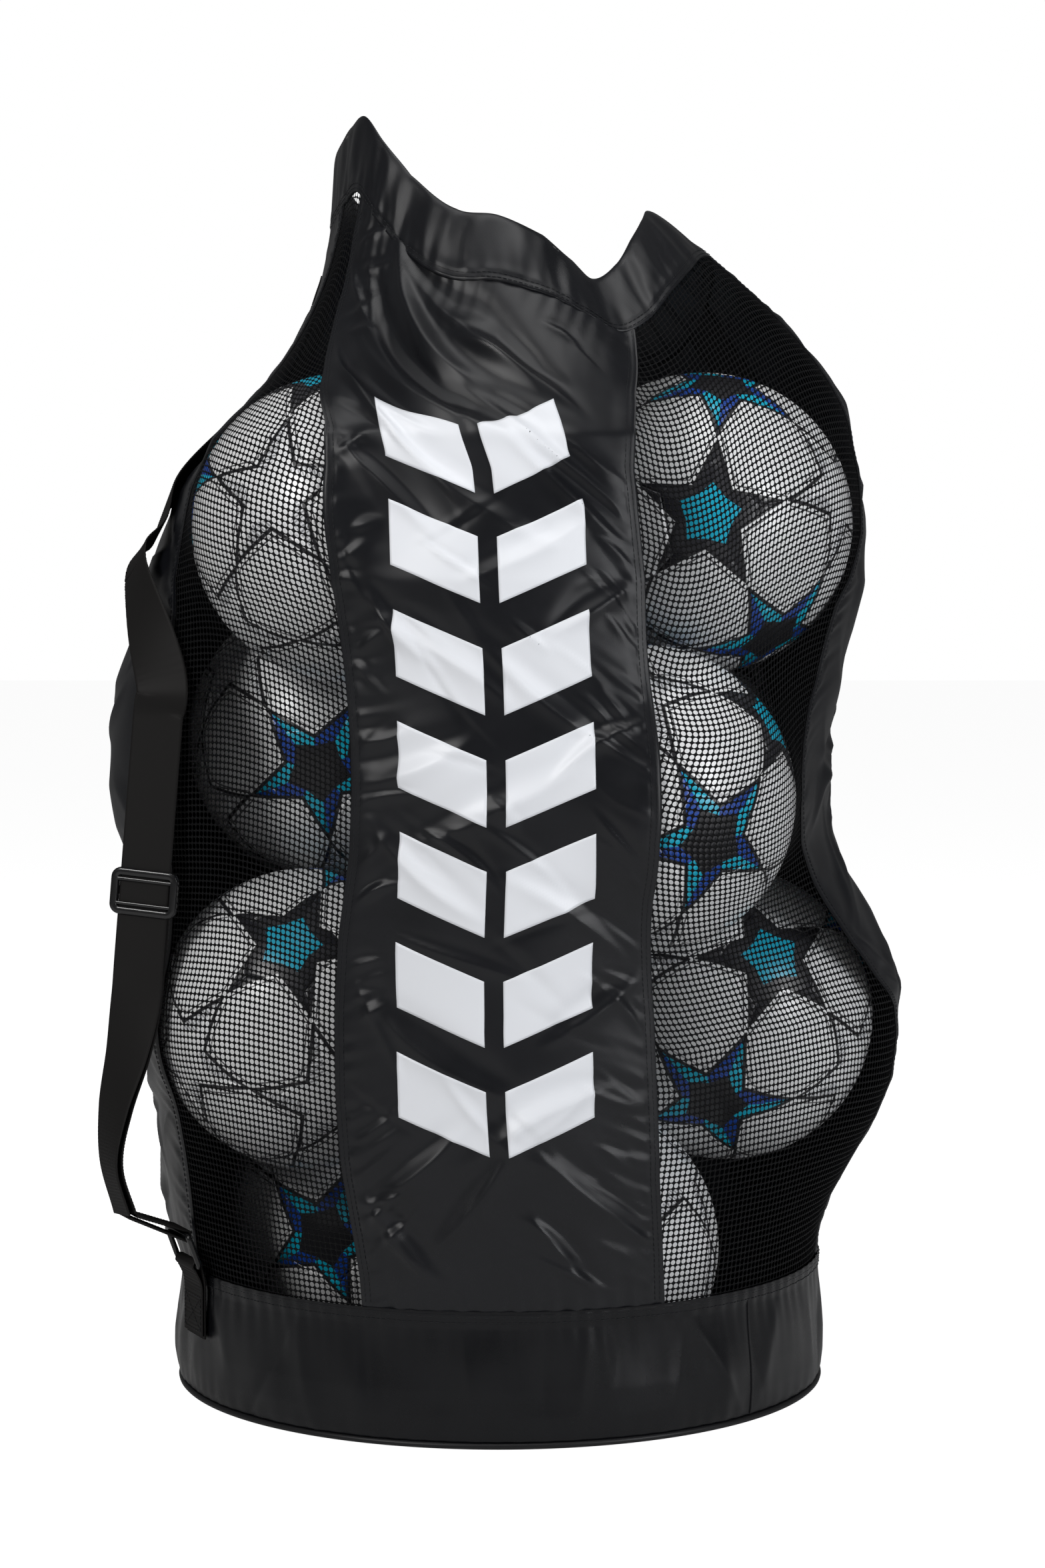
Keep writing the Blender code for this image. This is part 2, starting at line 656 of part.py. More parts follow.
LOCK_AT = TAIL_TOP + TAIL_DIR * 0.035
LOCK_AXIS = Vector((1, 0, 0))
LOCK_FRAME = frame_of(LOCK_AT, LOCK_AXIS, TAIL_DIR)
LOCK_STEPS = 20
LOCK_R = 0.0085
BARREL_SLOT = (0.0080, 0.0040, 0.030)  # along the lock, across it, along the cords
BUTTON_SLOT = (0.0130, 0.0040, 0.030)
BUTTON_SLOT_SHIFT = 0.0022
# (radius, place along the lock's axis)
BARREL_PROFILE = (
    (0, -0.0130), (0.0075, -0.0130), (LOCK_R, -0.0118), (LOCK_R, 0.0102),
    (0.0078, 0.0110), (0.0057, 0.0110), (0.0057, -0.0115), (0, -0.0115),
)
BUTTON_PROFILE = (
    (0, -0.0062), (0.0054, -0.0062), (0.0054, 0.0155), (0.0070, 0.0158),
    (0.0070, 0.0190), (0.0060, 0.0200), (0, 0.0200),
)
SPRING_R, SPRING_WIRE_R = 0.0040, 0.0003
SPRING_START, SPRING_LEN = -0.0110, 0.0042  # along the lock's axis
SPRING_TURNS, SPRING_STEPS = 3.5, 28
# (radius, distance below the cord ends)
CORD_END_PROFILE = (
    (0, 0.0), (0.0042, 0.0), (0.0052, 0.0020), (0.0052, 0.0110), (0.0034, 0.0150), (0, 0.0155),
)


def cord_side(side):
    """One end of the cord from its tail into the hem; side is +1 on the bag's left."""
    eyelet = 90 + side * EYELET_ANGLE
    shift = Vector((-side * TAIL_HALF_PITCH, 0, 0))
    points = [TAIL_TOP + TAIL_DIR * TAIL_LEN + shift, TAIL_TOP + shift]
    points += [hem_point(eyelet, EYELET_D, offset) for offset in EYELET_EXITS]
    # inside the channel it turns away from the eyelet
    for turn, offset in ((0.45, 0.0002), (1.4, 0.0)):
        points.append(hem_point(eyelet + side * turn, EYELET_D, offset))
    return points


def build_drawcord():
    """Round the channel, out of both eyelets and down the back together."""
    around = []
    for i in range(CORD_STEPS + 1):
        angle = CORD_START + (CORD_END - CORD_START) * i / CORD_STEPS
        dip = 1 - smooth(min(i, CORD_STEPS - i) / CORD_DIP_STEPS)
        depth = CORD_D + (EYELET_D - CORD_D) * dip * CORD_DIP
        around.append(hem_point(angle, depth))
    path = cord_side(1) + around + cord_side(-1)[::-1]
    tube("drawcord", path, CORD_R, 6, CORD_FINISH)


def build_lock_barrel():
    barrel = lathe("cord_lock_barrel", BARREL_PROFILE, LOCK_STEPS, LOCK_FRAME, BARREL_FINISH)
    cut(barrel, box_mesh(BARREL_SLOT, frame_of(LOCK_AT, TAIL_DIR, LOCK_AXIS)))


def build_lock_button():
    button = lathe("cord_lock_button", BUTTON_PROFILE, LOCK_STEPS, LOCK_FRAME, BUTTON_FINISH)
    slot_at = LOCK_AT + LOCK_AXIS * BUTTON_SLOT_SHIFT
    cut(button, box_mesh(BUTTON_SLOT, frame_of(slot_at, TAIL_DIR, LOCK_AXIS)))


def build_lock_spring():
    coil = []
    for i in range(SPRING_STEPS + 1):
        t = i / SPRING_STEPS
        turn = t * math.tau * SPRING_TURNS
        coil.append(LOCK_FRAME @ Vector((SPRING_R * math.cos(turn), SPRING_R * math.sin(turn),
                                         SPRING_START + SPRING_LEN * t)))
    tube("cord_lock_spring", coil, SPRING_WIRE_R, 5, SPRING_FINISH)


def build_cord_end():
    frame = frame_of(TAIL_TOP + TAIL_DIR * (TAIL_LEN + GAP), TAIL_DIR, LOCK_AXIS)
    lathe("cord_end", CORD_END_PROFILE, 14, frame, CORD_END_FINISH)


build_drawcord()
build_lock_barrel()
build_lock_button()
build_lock_spring()
build_cord_end()

# ---------------------------------------------------------------- shoulder strap: layout
# Straight run, on which the adjuster sits
RUN_TOP = Vector((-0.2400, -0.1360, 0.5300))
RUN_BOTTOM = Vector((-0.2600, -0.1320, 0.3000))
RUN_SHARES = (0.0, 0.12, 0.3, 0.5, 0.7, 0.88, 1.0)
RUN_ACROSS = outward(-15)
ADJUSTER_Z = 0.3760

# Wire ring, between the strap and the lower tab
RING_ANGLE = 205.5
RING_OUT = outward(RING_ANGLE)
RING_SIDE = outward(RING_ANGLE - 90)
WIRE_R = 0.0021
RING_LOW = RING_OUT * 0.2500 + Z_AXIS * 0.1040  # middle of the lower bar
RING_TOP = RING_OUT * 0.2585 + Z_AXIS * 0.1270  # middle of the upper bar
RING_HALF_W = WEB_W / 2 + 0.0008 + 0.0034
RING_CORNER_R = 0.0030
FOLD_R = WIRE_R + GAP + WEB_T / 2 + 0.0002  # webbing centre from a bar's centre

# Stations lying on the bag, from the back left round to the left: (angle, height, stand-off)
SHOULDER = (
    (146, 0.806, 0.0105), (148, 0.774, 0.0105), (152, 0.736, 0.0110),
    (160, 0.696, 0.0120), (176, 0.655, 0.0135), (196, 0.607, 0.0195),
)
SHOULDER_TILT = 0.35  # z part of the outward direction there
# Stations from the straight run down to the ring: (point, share of the turn to the ring)
LOWER_RUN = (
    ((-0.2670, -0.1300, 0.262), 0.35), ((-0.2775, -0.1290, 0.220), 0.7),
    ((-0.2810, -0.1295, 0.180), 1.0), ((-0.2715, -0.1292, 0.143), 1.0),
)
STRAP_STEPS = 3  # curve steps between stations
SPLIT = STRAP_STEPS * (len(SHOULDER) - 1)  # lies on the shoulder to here, then hangs free
SHOULDER_END_GAP = 0.0028
LOOP_END_GAP = 0.0030
RETURN_GAP = 0.0046  # return layer inside the main run, between centres
LOOP_GAP = 0.0052  # the same at the ring loop
BEHIND_BAR = 0.0052  # return layer's end, behind the adjuster's centre


def strap_stations():
    """Points down the middle of the strap, and its width direction at each."""
    points = [lay(*station) for station in SHOULDER]
    across = []
    for i, (angle, _, _) in enumerate(SHOULDER):
        run = points[min(i + 1, len(SHOULDER) - 1)] - points[max(i - 1, 0)]
        across.append(outward(angle, SHOULDER_TILT).cross(run).normalized())
    for share in RUN_SHARES:
        points.append(RUN_TOP + (RUN_BOTTOM - RUN_TOP) * share)
        across.append(RUN_ACROSS)
    for point, turn in LOWER_RUN:
        points.append(Vector(point))
        across.append(RUN_ACROSS * (1 - turn) - RING_SIDE * turn)
    return points, across


STATIONS, STATION_ACROSS = strap_stations()
STRAP_PATH = curve(STATIONS, STRAP_STEPS)
STRAP_ACROSS = curve(STATION_ACROSS, STRAP_STEPS)
LAST = len(STATIONS) - 1


def nudge(point, towards, distance):
    return point + (towards - point).normalized() * distance


def inner_side(i, offset):
    """A point beside a station, on the bag's side of the main run."""
    along = (STATIONS[min(i + 1, LAST)] - STATIONS[i - 1]).normalized()
    return STATIONS[i] + STATION_ACROSS[i].cross(along).normalized() * offset


def round_bar(bar, degrees):
    """Points folding round a ring bar; 0 degrees is outward from the bag, 90 is up."""
    return [bar + (RING_OUT * math.cos(t) + Z_AXIS * math.sin(t)) * FOLD_R
            for t in map(math.radians, degrees)]


INNER_END = inner_side(LAST, LOOP_GAP)
ADJUSTER_SHARE = (RUN_TOP.z - ADJUSTER_Z) / (RUN_TOP.z - RUN_BOTTOM.z)
ADJUSTER_AT = RUN_TOP + (RUN_BOTTOM - RUN_TOP) * ADJUSTER_SHARE
RUN_DIR = (RUN_BOTTOM - RUN_TOP).normalized()
ADJUSTER_SIDE = (RUN_ACROSS - RUN_DIR * RUN_ACROSS.dot(RUN_DIR)).normalized()
ADJUSTER_FRONT = RUN_DIR.cross(ADJUSTER_SIDE)  # faces away from the bag


# ---------------------------------------------------------------- shoulder strap: webbing
def build_main_run():
    end = nudge(STRAP_PATH[SPLIT], STRAP_PATH[SPLIT - 1], SHOULDER_END_GAP)
    ribbon("strap_shoulder_run", STRAP_PATH[:SPLIT] + [end], STRAP_ACROSS[:SPLIT + 1])
    ribbon("strap_webbing", STRAP_PATH[SPLIT:], STRAP_ACROSS[SPLIT:])


def build_ring_loop():
    """Down the outside of the upper bar, under it and up again inside."""
    turn = round_bar(RING_TOP, range(-66, -245, -25))
    start = nudge(STATIONS[LAST], turn[0], LOOP_END_GAP)
    end = nudge(INNER_END, turn[-1], LOOP_END_GAP)
    path = [start] + turn + [end]
    ribbon("strap_ring_loop", path, [-RING_SIDE] * len(path))


def build_return():
    """From the ring back up inside the main run, ending behind the adjuster's middle bar."""
    between = range(LAST - 1, LAST - len(LOWER_RUN), -1)
    end = ADJUSTER_AT - ADJUSTER_FRONT * BEHIND_BAR + RUN_DIR * 0.0010
    path = [INNER_END] + [inner_side(i, RETURN_GAP) for i in between]
    path += [RUN_BOTTOM - ADJUSTER_FRONT * RETURN_GAP, end + RUN_DIR * 0.030, end]
    across = [-RING_SIDE] + [STATION_ACROSS[i] for i in between] + [RUN_ACROSS] * 3
    ribbon("strap_return", curve(path, STRAP_STEPS), curve(across, STRAP_STEPS), WEB_INNER_W)


def build_lower_tab():
    """Two layers on the band, folded over the ring's lower bar."""
    inner_r = BAND_OUTER_R + GAP + WEB_T / 2 + 0.0004
    outer_r = BAND_OUTER_R + GAP + WEB_T * 1.5 + 0.0008
    path = [RING_OUT * inner_r + Z_AXIS * z for z in (0.052, 0.066, 0.080, 0.092)]
    path += round_bar(RING_LOW, range(200, -61, -26))
    path.append(RING_OUT * (outer_r + 0.0004) + Z_AXIS * 0.090)
    path += [RING_OUT * outer_r + Z_AXIS * z for z in (0.076, 0.060, 0.052)]
    ribbon("strap_lower_tab", path, [RING_SIDE] * len(path), WEB_INNER_W)


def build_upper_tab():
    """The top end of the strap, lying on the bag under the hem."""
    start = STRAP_PATH[0]
    beyond = (start - STRAP_PATH[1]).normalized()
    points = []
    for distance, standoff in ((0.024, 0.0092), (0.017, 0.0096), (0.010, 0.0101)):
        point = start + beyond * distance
        points.append(lay(math.degrees(math.atan2(point.y, point.x)), point.z, standoff))
    points.append(start + beyond * 0.0020)
    path = curve(points, 2)
    ribbon("strap_upper_tab", path, [STRAP_ACROSS[0]] * len(path))


build_main_run()
build_ring_loop()
build_return()
build_lower_tab()
build_upper_tab()

# ---------------------------------------------------------------- adjuster and ring
# Box sizes: across the strap, along it, through it
ADJUSTER_SIZE = (0.0510, 0.0340, 0.0066)
WEBBING_WAY = (0.0394, 0.0500, 0.0028)
FRONT_WINDOW = (0.0392, 0.0180, 0.0100)
REAR_WINDOW = (0.0392, 0.0150, 0.0100)
WINDOW_DEPTH = 0.0055  # window centres, in front of and behind the adjuster's centre
REAR_WINDOW_PLACE = 0.0125  # along the strap, either side of the middle bar


def adjuster_box(size, forward=0.0, along=0.0, name="cutter"):
    centre = ADJUSTER_AT + ADJUSTER_FRONT * forward + RUN_DIR * along
    return box_mesh(size, frame_of(centre, ADJUSTER_FRONT, ADJUSTER_SIDE), name)


def build_adjuster():
    """Three bars: webbing passes behind the end bars and in front of the middle bar."""
    name = "strap_adjuster"
    adjuster = add(name, adjuster_box(ADJUSTER_SIZE, name=name), ADJUSTER_FINISH)
    cut(adjuster, adjuster_box(WEBBING_WAY))
    cut(adjuster, adjuster_box(FRONT_WINDOW, forward=WINDOW_DEPTH))
    for side in (-1, 1):
        place = side * REAR_WINDOW_PLACE
        cut(adjuster, adjuster_box(REAR_WINDOW, forward=-WINDOW_DEPTH, along=place))


def build_ring():
    """Rectangular wire loop with rounded corners."""
    rise = (RING_TOP - RING_LOW).normalized()
    corners = ((RING_LOW, -1), (RING_LOW, 1), (RING_TOP, 1), (RING_TOP, -1))
    path = []
    for i, (bar, side) in enumerate(corners):
        inward = -RING_SIDE * side
        to_middle = rise if bar is RING_LOW else -rise
        centre = bar - inward * RING_HALF_W + (inward + to_middle) * RING_CORNER_R
        first, second = (inward, to_middle) if i % 2 == 0 else (to_middle, inward)
        for k in range(4):
            turn = math.radians(90 * k / 3)
            spoke = -first * math.cos(turn) - second * math.sin(turn)
            path.append(centre + spoke * RING_CORNER_R)
    tube("strap_ring", path, WIRE_R, 8, RING_FINISH, closed=True)


build_adjuster()
build_ring()


# ---------------------------------------------------------------- balls
def build_ball(name, centre):
    """Hollow shell; the valve hole opens it on the side facing the bag's axis."""
    bm = bmesh.new()
    bmesh.ops.create_icosphere(bm, subdivisions=3, radius=BALL_R)
    inner = bmesh.ops.create_icosphere(bm, subdivisions=2, radius=BALL_INNER_R)
    inner_verts = set(inner["verts"])
    inner_faces = [face for face in bm.faces if all(v in inner_verts for v in face.verts)]
    bmesh.ops.reverse_faces(bm, faces=inner_faces)
    bmesh.ops.translate(bm, vec=centre, verts=bm.verts)
    ball = add(name, to_mesh(bm, name), BALL_FINISH)
    facing = Vector((-centre.x, -centre.y, 0.02)).normalized()
    frame = frame_of(centre + facing * BALL_R, facing, Z_AXIS)
    cut(ball, rod_mesh(VALVE_R, VALVE_CUT, 8, frame))


for number, ball_centre in enumerate(BALLS, 1):
    build_ball("ball_%02d" % number, Vector(ball_centre))
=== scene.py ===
"""A tall round ball bag of mesh and black cloth panels, with eleven balls, a strap and a drawcord.

The bag stands on z = 0 around the z axis. Right is +x, the front faces -y, the back is +y.
Angles are degrees from +x towards +y, so the back is at 90, the left at 180, the front at 270.
A share of the height runs from 0 at the base seam to 1 at the rim, along the cloth.
"""
import math
import random

import bmesh
import bpy
import numpy as np
from mathutils import Matrix, Vector


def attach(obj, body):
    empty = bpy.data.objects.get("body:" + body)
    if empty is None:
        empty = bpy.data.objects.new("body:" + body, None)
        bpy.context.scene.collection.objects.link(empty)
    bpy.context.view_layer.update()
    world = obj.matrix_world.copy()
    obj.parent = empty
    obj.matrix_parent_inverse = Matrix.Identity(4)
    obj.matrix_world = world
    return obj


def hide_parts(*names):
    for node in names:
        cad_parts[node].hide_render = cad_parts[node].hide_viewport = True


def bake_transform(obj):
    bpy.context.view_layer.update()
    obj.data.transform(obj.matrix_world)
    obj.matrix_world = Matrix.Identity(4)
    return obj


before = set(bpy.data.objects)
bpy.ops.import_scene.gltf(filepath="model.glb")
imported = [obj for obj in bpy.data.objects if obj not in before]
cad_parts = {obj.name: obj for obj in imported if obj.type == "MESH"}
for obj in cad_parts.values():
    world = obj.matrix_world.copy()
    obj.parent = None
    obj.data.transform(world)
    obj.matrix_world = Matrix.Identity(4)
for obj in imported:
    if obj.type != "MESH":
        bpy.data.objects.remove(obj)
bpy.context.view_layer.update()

TAU = math.tau

# ---- shared dimensions
BALL_R = 0.110
BASE_R = 0.2385
SEAM_Z = 0.0923  # where the panels start
BAND_H = 0.0920  # height of the base band
BAND_TOP = BAND_H + 0.0042  # the band's cloth laps over the seam
SHOULDER_Z = 0.700  # above this the bag closes or opens to the rim
HEM_W = 0.055
HEM_LINE = HEM_W - 0.006  # upper stitch line of the hem, measured down from the rim
CLOTH_T = 0.0005
WEB_W = 0.038
WEB_T = 0.0016
CLEAR_NET = 0.0014  # netting off a ball
CLEAR_CLOTH = 0.0048  # solid cloth off a ball

# ball centres, (x, y, z)
BALLS = (
    (-0.109, -0.120, 0.636), (0.149, -0.050, 0.640), (-0.127, 0.033, 0.478),
    (0.101, -0.146, 0.444), (-0.141, -0.072, 0.278), (0.171, 0.000, 0.272),
    (-0.100, 0.072, 0.1145), (0.050, -0.098, 0.1145), (-0.036, 0.155, 0.316),
    (0.105, 0.098, 0.478), (0.000, 0.112, 0.672),
)
# outlines of the slack bag up to the shoulder, (z, radius)
RIGHT = (
    (0.092, 0.238), (0.116, 0.240), (0.139, 0.2485), (0.169, 0.266), (0.198, 0.2835),
    (0.227, 0.2955), (0.262, 0.2995), (0.292, 0.2985), (0.327, 0.2895), (0.351, 0.278),
    (0.38, 0.26), (0.41, 0.2485), (0.433, 0.2443), (0.48, 0.2455), (0.533, 0.2543),
    (0.562, 0.263), (0.598, 0.2707), (0.633, 0.272), (0.68, 0.266), (0.70, 0.262),
)
LEFT = (
    (0.092, 0.238), (0.116, 0.2475), (0.151, 0.2515), (0.21, 0.259), (0.257, 0.2675),
    (0.33, 0.272), (0.392, 0.278), (0.415, 0.2868), (0.445, 0.292), (0.48, 0.291),
    (0.522, 0.2856), (0.551, 0.275), (0.574, 0.268), (0.598, 0.263), (0.665, 0.237),
    (0.686, 0.219), (0.70, 0.209),
)
BACK = ((0.092, 0.238), (0.2, 0.258), (0.32, 0.264), (0.45, 0.260), (0.6, 0.258), (0.70, 0.245))
FRONT = ((0.092, 0.238), (0.2, 0.250), (0.32, 0.252), (0.45, 0.255), (0.6, 0.250), (0.70, 0.225))
BETWEEN = ((0.092, 0.238), (0.2, 0.248), (0.35, 0.248), (0.6, 0.246), (0.70, 0.225))
SPREAD = 26.0  # degrees over which an outline fades into BETWEEN
# the rim, (angle, radius, z)
RIM = (
    (0, 0.113, 0.864), (20, 0.128, 0.848), (38, 0.150, 0.825), (50, 0.166, 0.814),
    (62, 0.177, 0.817), (72, 0.185, 0.842), (80, 0.189, 0.862), (90, 0.193, 0.872),
    (130, 0.169, 0.887), (146, 0.147, 0.907), (158, 0.132, 0.914), (180, 0.117, 0.922),
    (198, 0.113, 0.930), (212, 0.114, 0.934), (225, 0.115, 0.912), (237, 0.115, 0.888),
    (256, 0.124, 0.862), (270, 0.126, 0.857), (284, 0.129, 0.843), (293, 0.131, 0.826),
    (300, 0.133, 0.813), (308, 0.134, 0.823), (318, 0.128, 0.844), (328, 0.121, 0.858),
    (340, 0.114, 0.868), (352, 0.113, 0.868),
)
# angles of the eight panel joins low down, and of the first five at the rim
JOIN_LOW = (24, 37, 146, 156, 204, 246, 294, 336)
JOIN_TOP = (28, 34, 146, 152, 188)
# joins 5, 6 and 7 follow measured lines, (share of the height, angle)
FRONT_LEFT = (
    (0.0, 248.0), (0.03, 247.8), (0.063, 247.0), (0.117, 245.5), (0.182, 244.5), (0.25, 244.4),
    (0.315, 245.2), (0.385, 247.2), (0.44, 247.7), (0.484, 247.4), (0.53, 246.5), (0.577, 245.5),
    (0.639, 244.5), (0.70, 243.6), (0.735, 242.0), (0.79, 234.0), (0.844, 223.0), (0.90, 217.0),
    (1.0, 215.0),
)
FRONT_RIGHT = (
    (0.0, 297.8), (0.05, 297.0), (0.124, 295.6), (0.266, 294.3), (0.375, 292.6), (0.43, 292.1),
    (0.484, 292.2), (0.558, 292.9), (0.663, 292.8), (0.767, 292.6), (0.81, 293.8),
    (0.854, 296.3), (0.937, 303.0), (1.0, 306.0),
)
RIGHT_EDGE = (
    (0.0, 352.0), (0.10, 354.0), (0.20, 356.0), (0.235, 354.0), (0.262, 348.0), (0.295, 342.5),
    (0.326, 338.5), (0.36, 334.0), (0.397, 329.0), (0.432, 326.5), (0.461, 327.5),
    (0.483, 330.5), (0.509, 334.0), (0.534, 337.5), (0.563, 339.0), (0.593, 341.0),
    (0.639, 347.5), (0.70, 354.0), (0.77, 356.0), (0.85, 355.0), (0.93, 351.0), (1.0, 349.0),
)
JOIN_LINES = {5: FRONT_LEFT, 6: FRONT_RIGHT, 7: RIGHT_EDGE}


# ---- small maths
def smooth(x):
    x = np.clip(x, 0.0, 1.0)
    return x * x * (3 - 2 * x)


def ramp(table, x):
    return np.interp(x, *zip(*table))


def bell(offset, width):
    return np.exp(-((offset / width) ** 2))


def mix(a, b, share):
    return a * (1 - share) + b * share


def half_turn(angle):
    """An angle brought between -180 and 180."""
    return (angle + 180.0) % 360.0 - 180.0


def polar(radius, angle, z):
    turn = np.radians(angle)
    return np.stack(np.broadcast_arrays(radius * np.cos(turn), radius * np.sin(turn), z), -1)


def unit(vectors):
    return vectors / np.linalg.norm(vectors, axis=-1, keepdims=True)


def square_to(vectors, axes):
    """Unit vectors at right angles to unit axes, as near as can be to the ones given."""
    return unit(vectors - axes * (vectors * axes).sum(-1, keepdims=True))


def run_length(path):
    """Distance along a path at each of its points."""
    steps = np.linalg.norm(np.diff(path, axis=0), axis=1)
    return np.concatenate([[0], np.cumsum(steps)])


def sample(where, run, values):
    """Columns of values, known at the distances run, read at other distances."""
    return np.stack([np.interp(where, run, column) for column in values.T], -1)


def spline(before, start, end, after, t):
    """Catmull-Rom curve from start to end."""
    return 0.5 * (2 * start + (end - before) * t
                  + (2 * before - 5 * start + 4 * end - after) * t * t
                  + (3 * start - before - 3 * end + after) * t ** 3)


def catmull(points, per):
    points = [np.array(p, float) for p in points]
    padded = [2 * points[0] - points[1], *points, 2 * points[-1] - points[-2]]
    curve = [spline(*padded[i:i + 4], k / per) for i in range(len(points) - 1) for k in range(per)]
    return np.array(curve + [points[-1]])


def resample(path, step, *others):
    """Even spacing along a path, with other arrays carried along."""
    run = run_length(path)
    even = np.linspace(0, run[-1], max(2, int(round(run[-1] / step))) + 1)
    return [sample(even, run, values) for values in (path, *others)], even


# ---- the bag's surface
def rim_at(angle):
    """Radius and height of the rim."""
    angle %= 360.0
    count = len(RIM)
    k = max(i for i in range(count) if RIM[i][0] <= angle + 1e-9)
    near = [np.array(RIM[(k + step) % count], float) for step in (-1, 0, 1, 2)]
    start = near[1][0]
    end = near[2][0] + (360 if k == count - 1 else 0)
    return spline(*near, (angle - start) / (end - start))[1:]


def join_at(k, share):
    """Angle of a panel join at a share of the height."""
    share = np.clip(np.asarray(share, float), 0, 1)
    if k in JOIN_LINES:
        return ramp(JOIN_LINES[k], share)
    return JOIN_LOW[k] + (JOIN_TOP[k] - JOIN_LOW[k]) * smooth((share - 0.70) / 0.30)


def join_span(first, second, share):
    """Angles of two joins, the second counted on past 360 where needed."""
    start, end = join_at(first, share), join_at(second, share)
    return start, np.where(end < start, end + 360, end)


def slack_radius(angle, z, rim_r, rim_z):
    """Radius of the bag where no ball pushes it out."""
    low_z = np.minimum(z, SHOULDER_Z)
    base = ramp(BETWEEN, low_z)
    radius = base.copy()
    for centre, table in ((0, RIGHT), (90, BACK), (180, LEFT), (270, FRONT)):
        radius += bell(half_turn(angle - centre), SPREAD) * (ramp(table, low_z) - base)
    t = np.clip((z - SHOULDER_Z) / (rim_z - SHOULDER_Z), 0, 1)
    # the left side closes early above the shoulder, the right side late
    left = 0.5 - 0.5 * np.cos(np.radians(angle))
    closing = left * (1 - (1 - t) ** 2.4) + (1 - left) * t ** 1.65
    return mix(radius, rim_r, closing)


def cloth_share(angle, share):
    """1 on solid panels, 0 on mesh panels, with a soft change at each join."""
    out = np.zeros(angle.shape)
    for joins in ((7, 0), (1, 2), (3, 4), (5, 6)):
        start, end = join_span(*joins, share)
        off = np.abs(half_turn(angle - (start + end) / 2))
        out = np.maximum(out, smooth(((end - start) / 2 - off) / 3.0 + 0.85))
    return out


def settle(n_angles, n_rows, push, rounds, keep):
    """Relax the cloth over the balls on one grid, starting from the push of a coarser grid."""
    angle = np.arange(n_angles) * 360.0 / n_angles
    rim_r, rim_z = np.array([rim_at(a) for a in angle]).T
    share = (np.arange(n_rows + 1) / n_rows)[:, None]
    z = SEAM_Z + (rim_z - SEAM_Z) * share
    angle = np.broadcast_to(angle, z.shape)
    slack = slack_radius(angle, z, rim_r, rim_z)
    clear = CLEAR_NET + (CLEAR_CLOTH - CLEAR_NET) * cloth_share(angle, share)
    dx, dy = np.cos(np.radians(angle)), np.sin(np.radians(angle))
    held = np.zeros_like(z)
    for ball_x, ball_y, ball_z in BALLS:
        slice_sq = (BALL_R + clear) ** 2 - (z - ball_z) ** 2
        along = ball_x * dx + ball_y * dy
        aside_sq = ball_x * ball_x + ball_y * ball_y - along * along
        hit = (slice_sq > 0) & (aside_sq < slice_sq) & (along > 0)
        reach = along + np.sqrt(np.maximum(slice_sq - aside_sq, 0))
        held = np.where(hit, np.maximum(held, reach), held)
    need = np.maximum(held - slack, 0.0)
    if push is None:
        push = need.copy()
    else:
        finer = np.zeros_like(need)
        finer[::2, ::2] = push
        finer[1::2, ::2] = 0.5 * (push[1:] + push[:-1])
        finer[:, 1::2] = 0.5 * (finer[:, ::2] + np.roll(finer[:, ::2], -1, 1))
        push = np.maximum(finer, need)
    for _ in range(rounds):
        up = np.vstack([push[1:], push[-1:]])
        down = np.vstack([push[:1], push[:-1]])
        side = 0.5 * (np.roll(push, 1, 1) + np.roll(push, -1, 1))
        relaxed = (0.34 * push + 0.33 * 0.5 * (up + down) + 0.33 * side) * keep
        push = np.maximum(need, relaxed)
    # no push at the base seam or the rim
    fade = smooth(np.clip(share * 10, 0, 1) * np.clip((1 - share) * 12, 0, 1))
    return push, slack, z, angle, fade


def bag_surface():
    """Grids of points and outward normals, evenly spaced up each column, and column lengths."""
    push = None
    # grid size, rounds, share of the push kept each round
    for n_angles, n_rows, rounds, keep in ((96, 60, 14, 0.985), (192, 120, 10, 0.998),
                                           (384, 240, 8, 1.0), (768, 480, 8, 1.0)):
        push, slack, z, angle, fade = settle(n_angles, n_rows, push, rounds, keep)
    radius = slack + push * fade
    for _ in range(3):  # soften the last trace of the grid
        around = np.roll(radius, 1, 1)[1:-1] + np.roll(radius, -1, 1)[1:-1]
        radius[1:-1] = 0.5 * radius[1:-1] + 0.125 * (radius[2:] + radius[:-2] + around)
    points = polar(radius, angle, z)
    surface = np.zeros_like(points)
    lengths = np.zeros(n_angles)
    for j in range(n_angles):
        run = run_length(points[:, j])
        lengths[j] = run[-1]
        surface[:, j] = sample(np.linspace(0, run[-1], n_rows + 1), run, points[:, j])
    around = np.roll(surface, -2, 1) - np.roll(surface, 2, 1)
    upward = np.empty_like(surface)
    upward[2:-2] = surface[4:] - surface[:-4]
    upward[:2] = surface[2:4] - surface[:2]
    upward[-2:] = surface[-2:] - surface[-4:-2]
    return surface, unit(np.cross(around, upward)), lengths


SURFACE, NORMALS, LENGTHS = bag_surface()
N_ROWS, N_ANGLES = SURFACE.shape[0] - 1, SURFACE.shape[1]


def columns_at(angle):
    """The two columns beside an angle, and how far it lies between them."""
    place = np.asarray(angle, float) % 360.0 / 360.0 * N_ANGLES
    j = np.floor(place).astype(int)
    return j % N_ANGLES, (j + 1) % N_ANGLES, place - j


def look_up(table, angle, share):
    angle, share = np.broadcast_arrays(np.asarray(angle, float), np.asarray(share, float))
    j, j_next, t = columns_at(angle)
    row = np.clip(share, 0, 1) * N_ROWS
    i = np.minimum(row.astype(int), N_ROWS - 1)
    t, s = t[..., None], (row - i)[..., None]
    return mix(mix(table[i, j], table[i, j_next], t),
               mix(table[i + 1, j], table[i + 1, j_next], t), s)


def skin(angle, share):
    return look_up(SURFACE, angle, share)


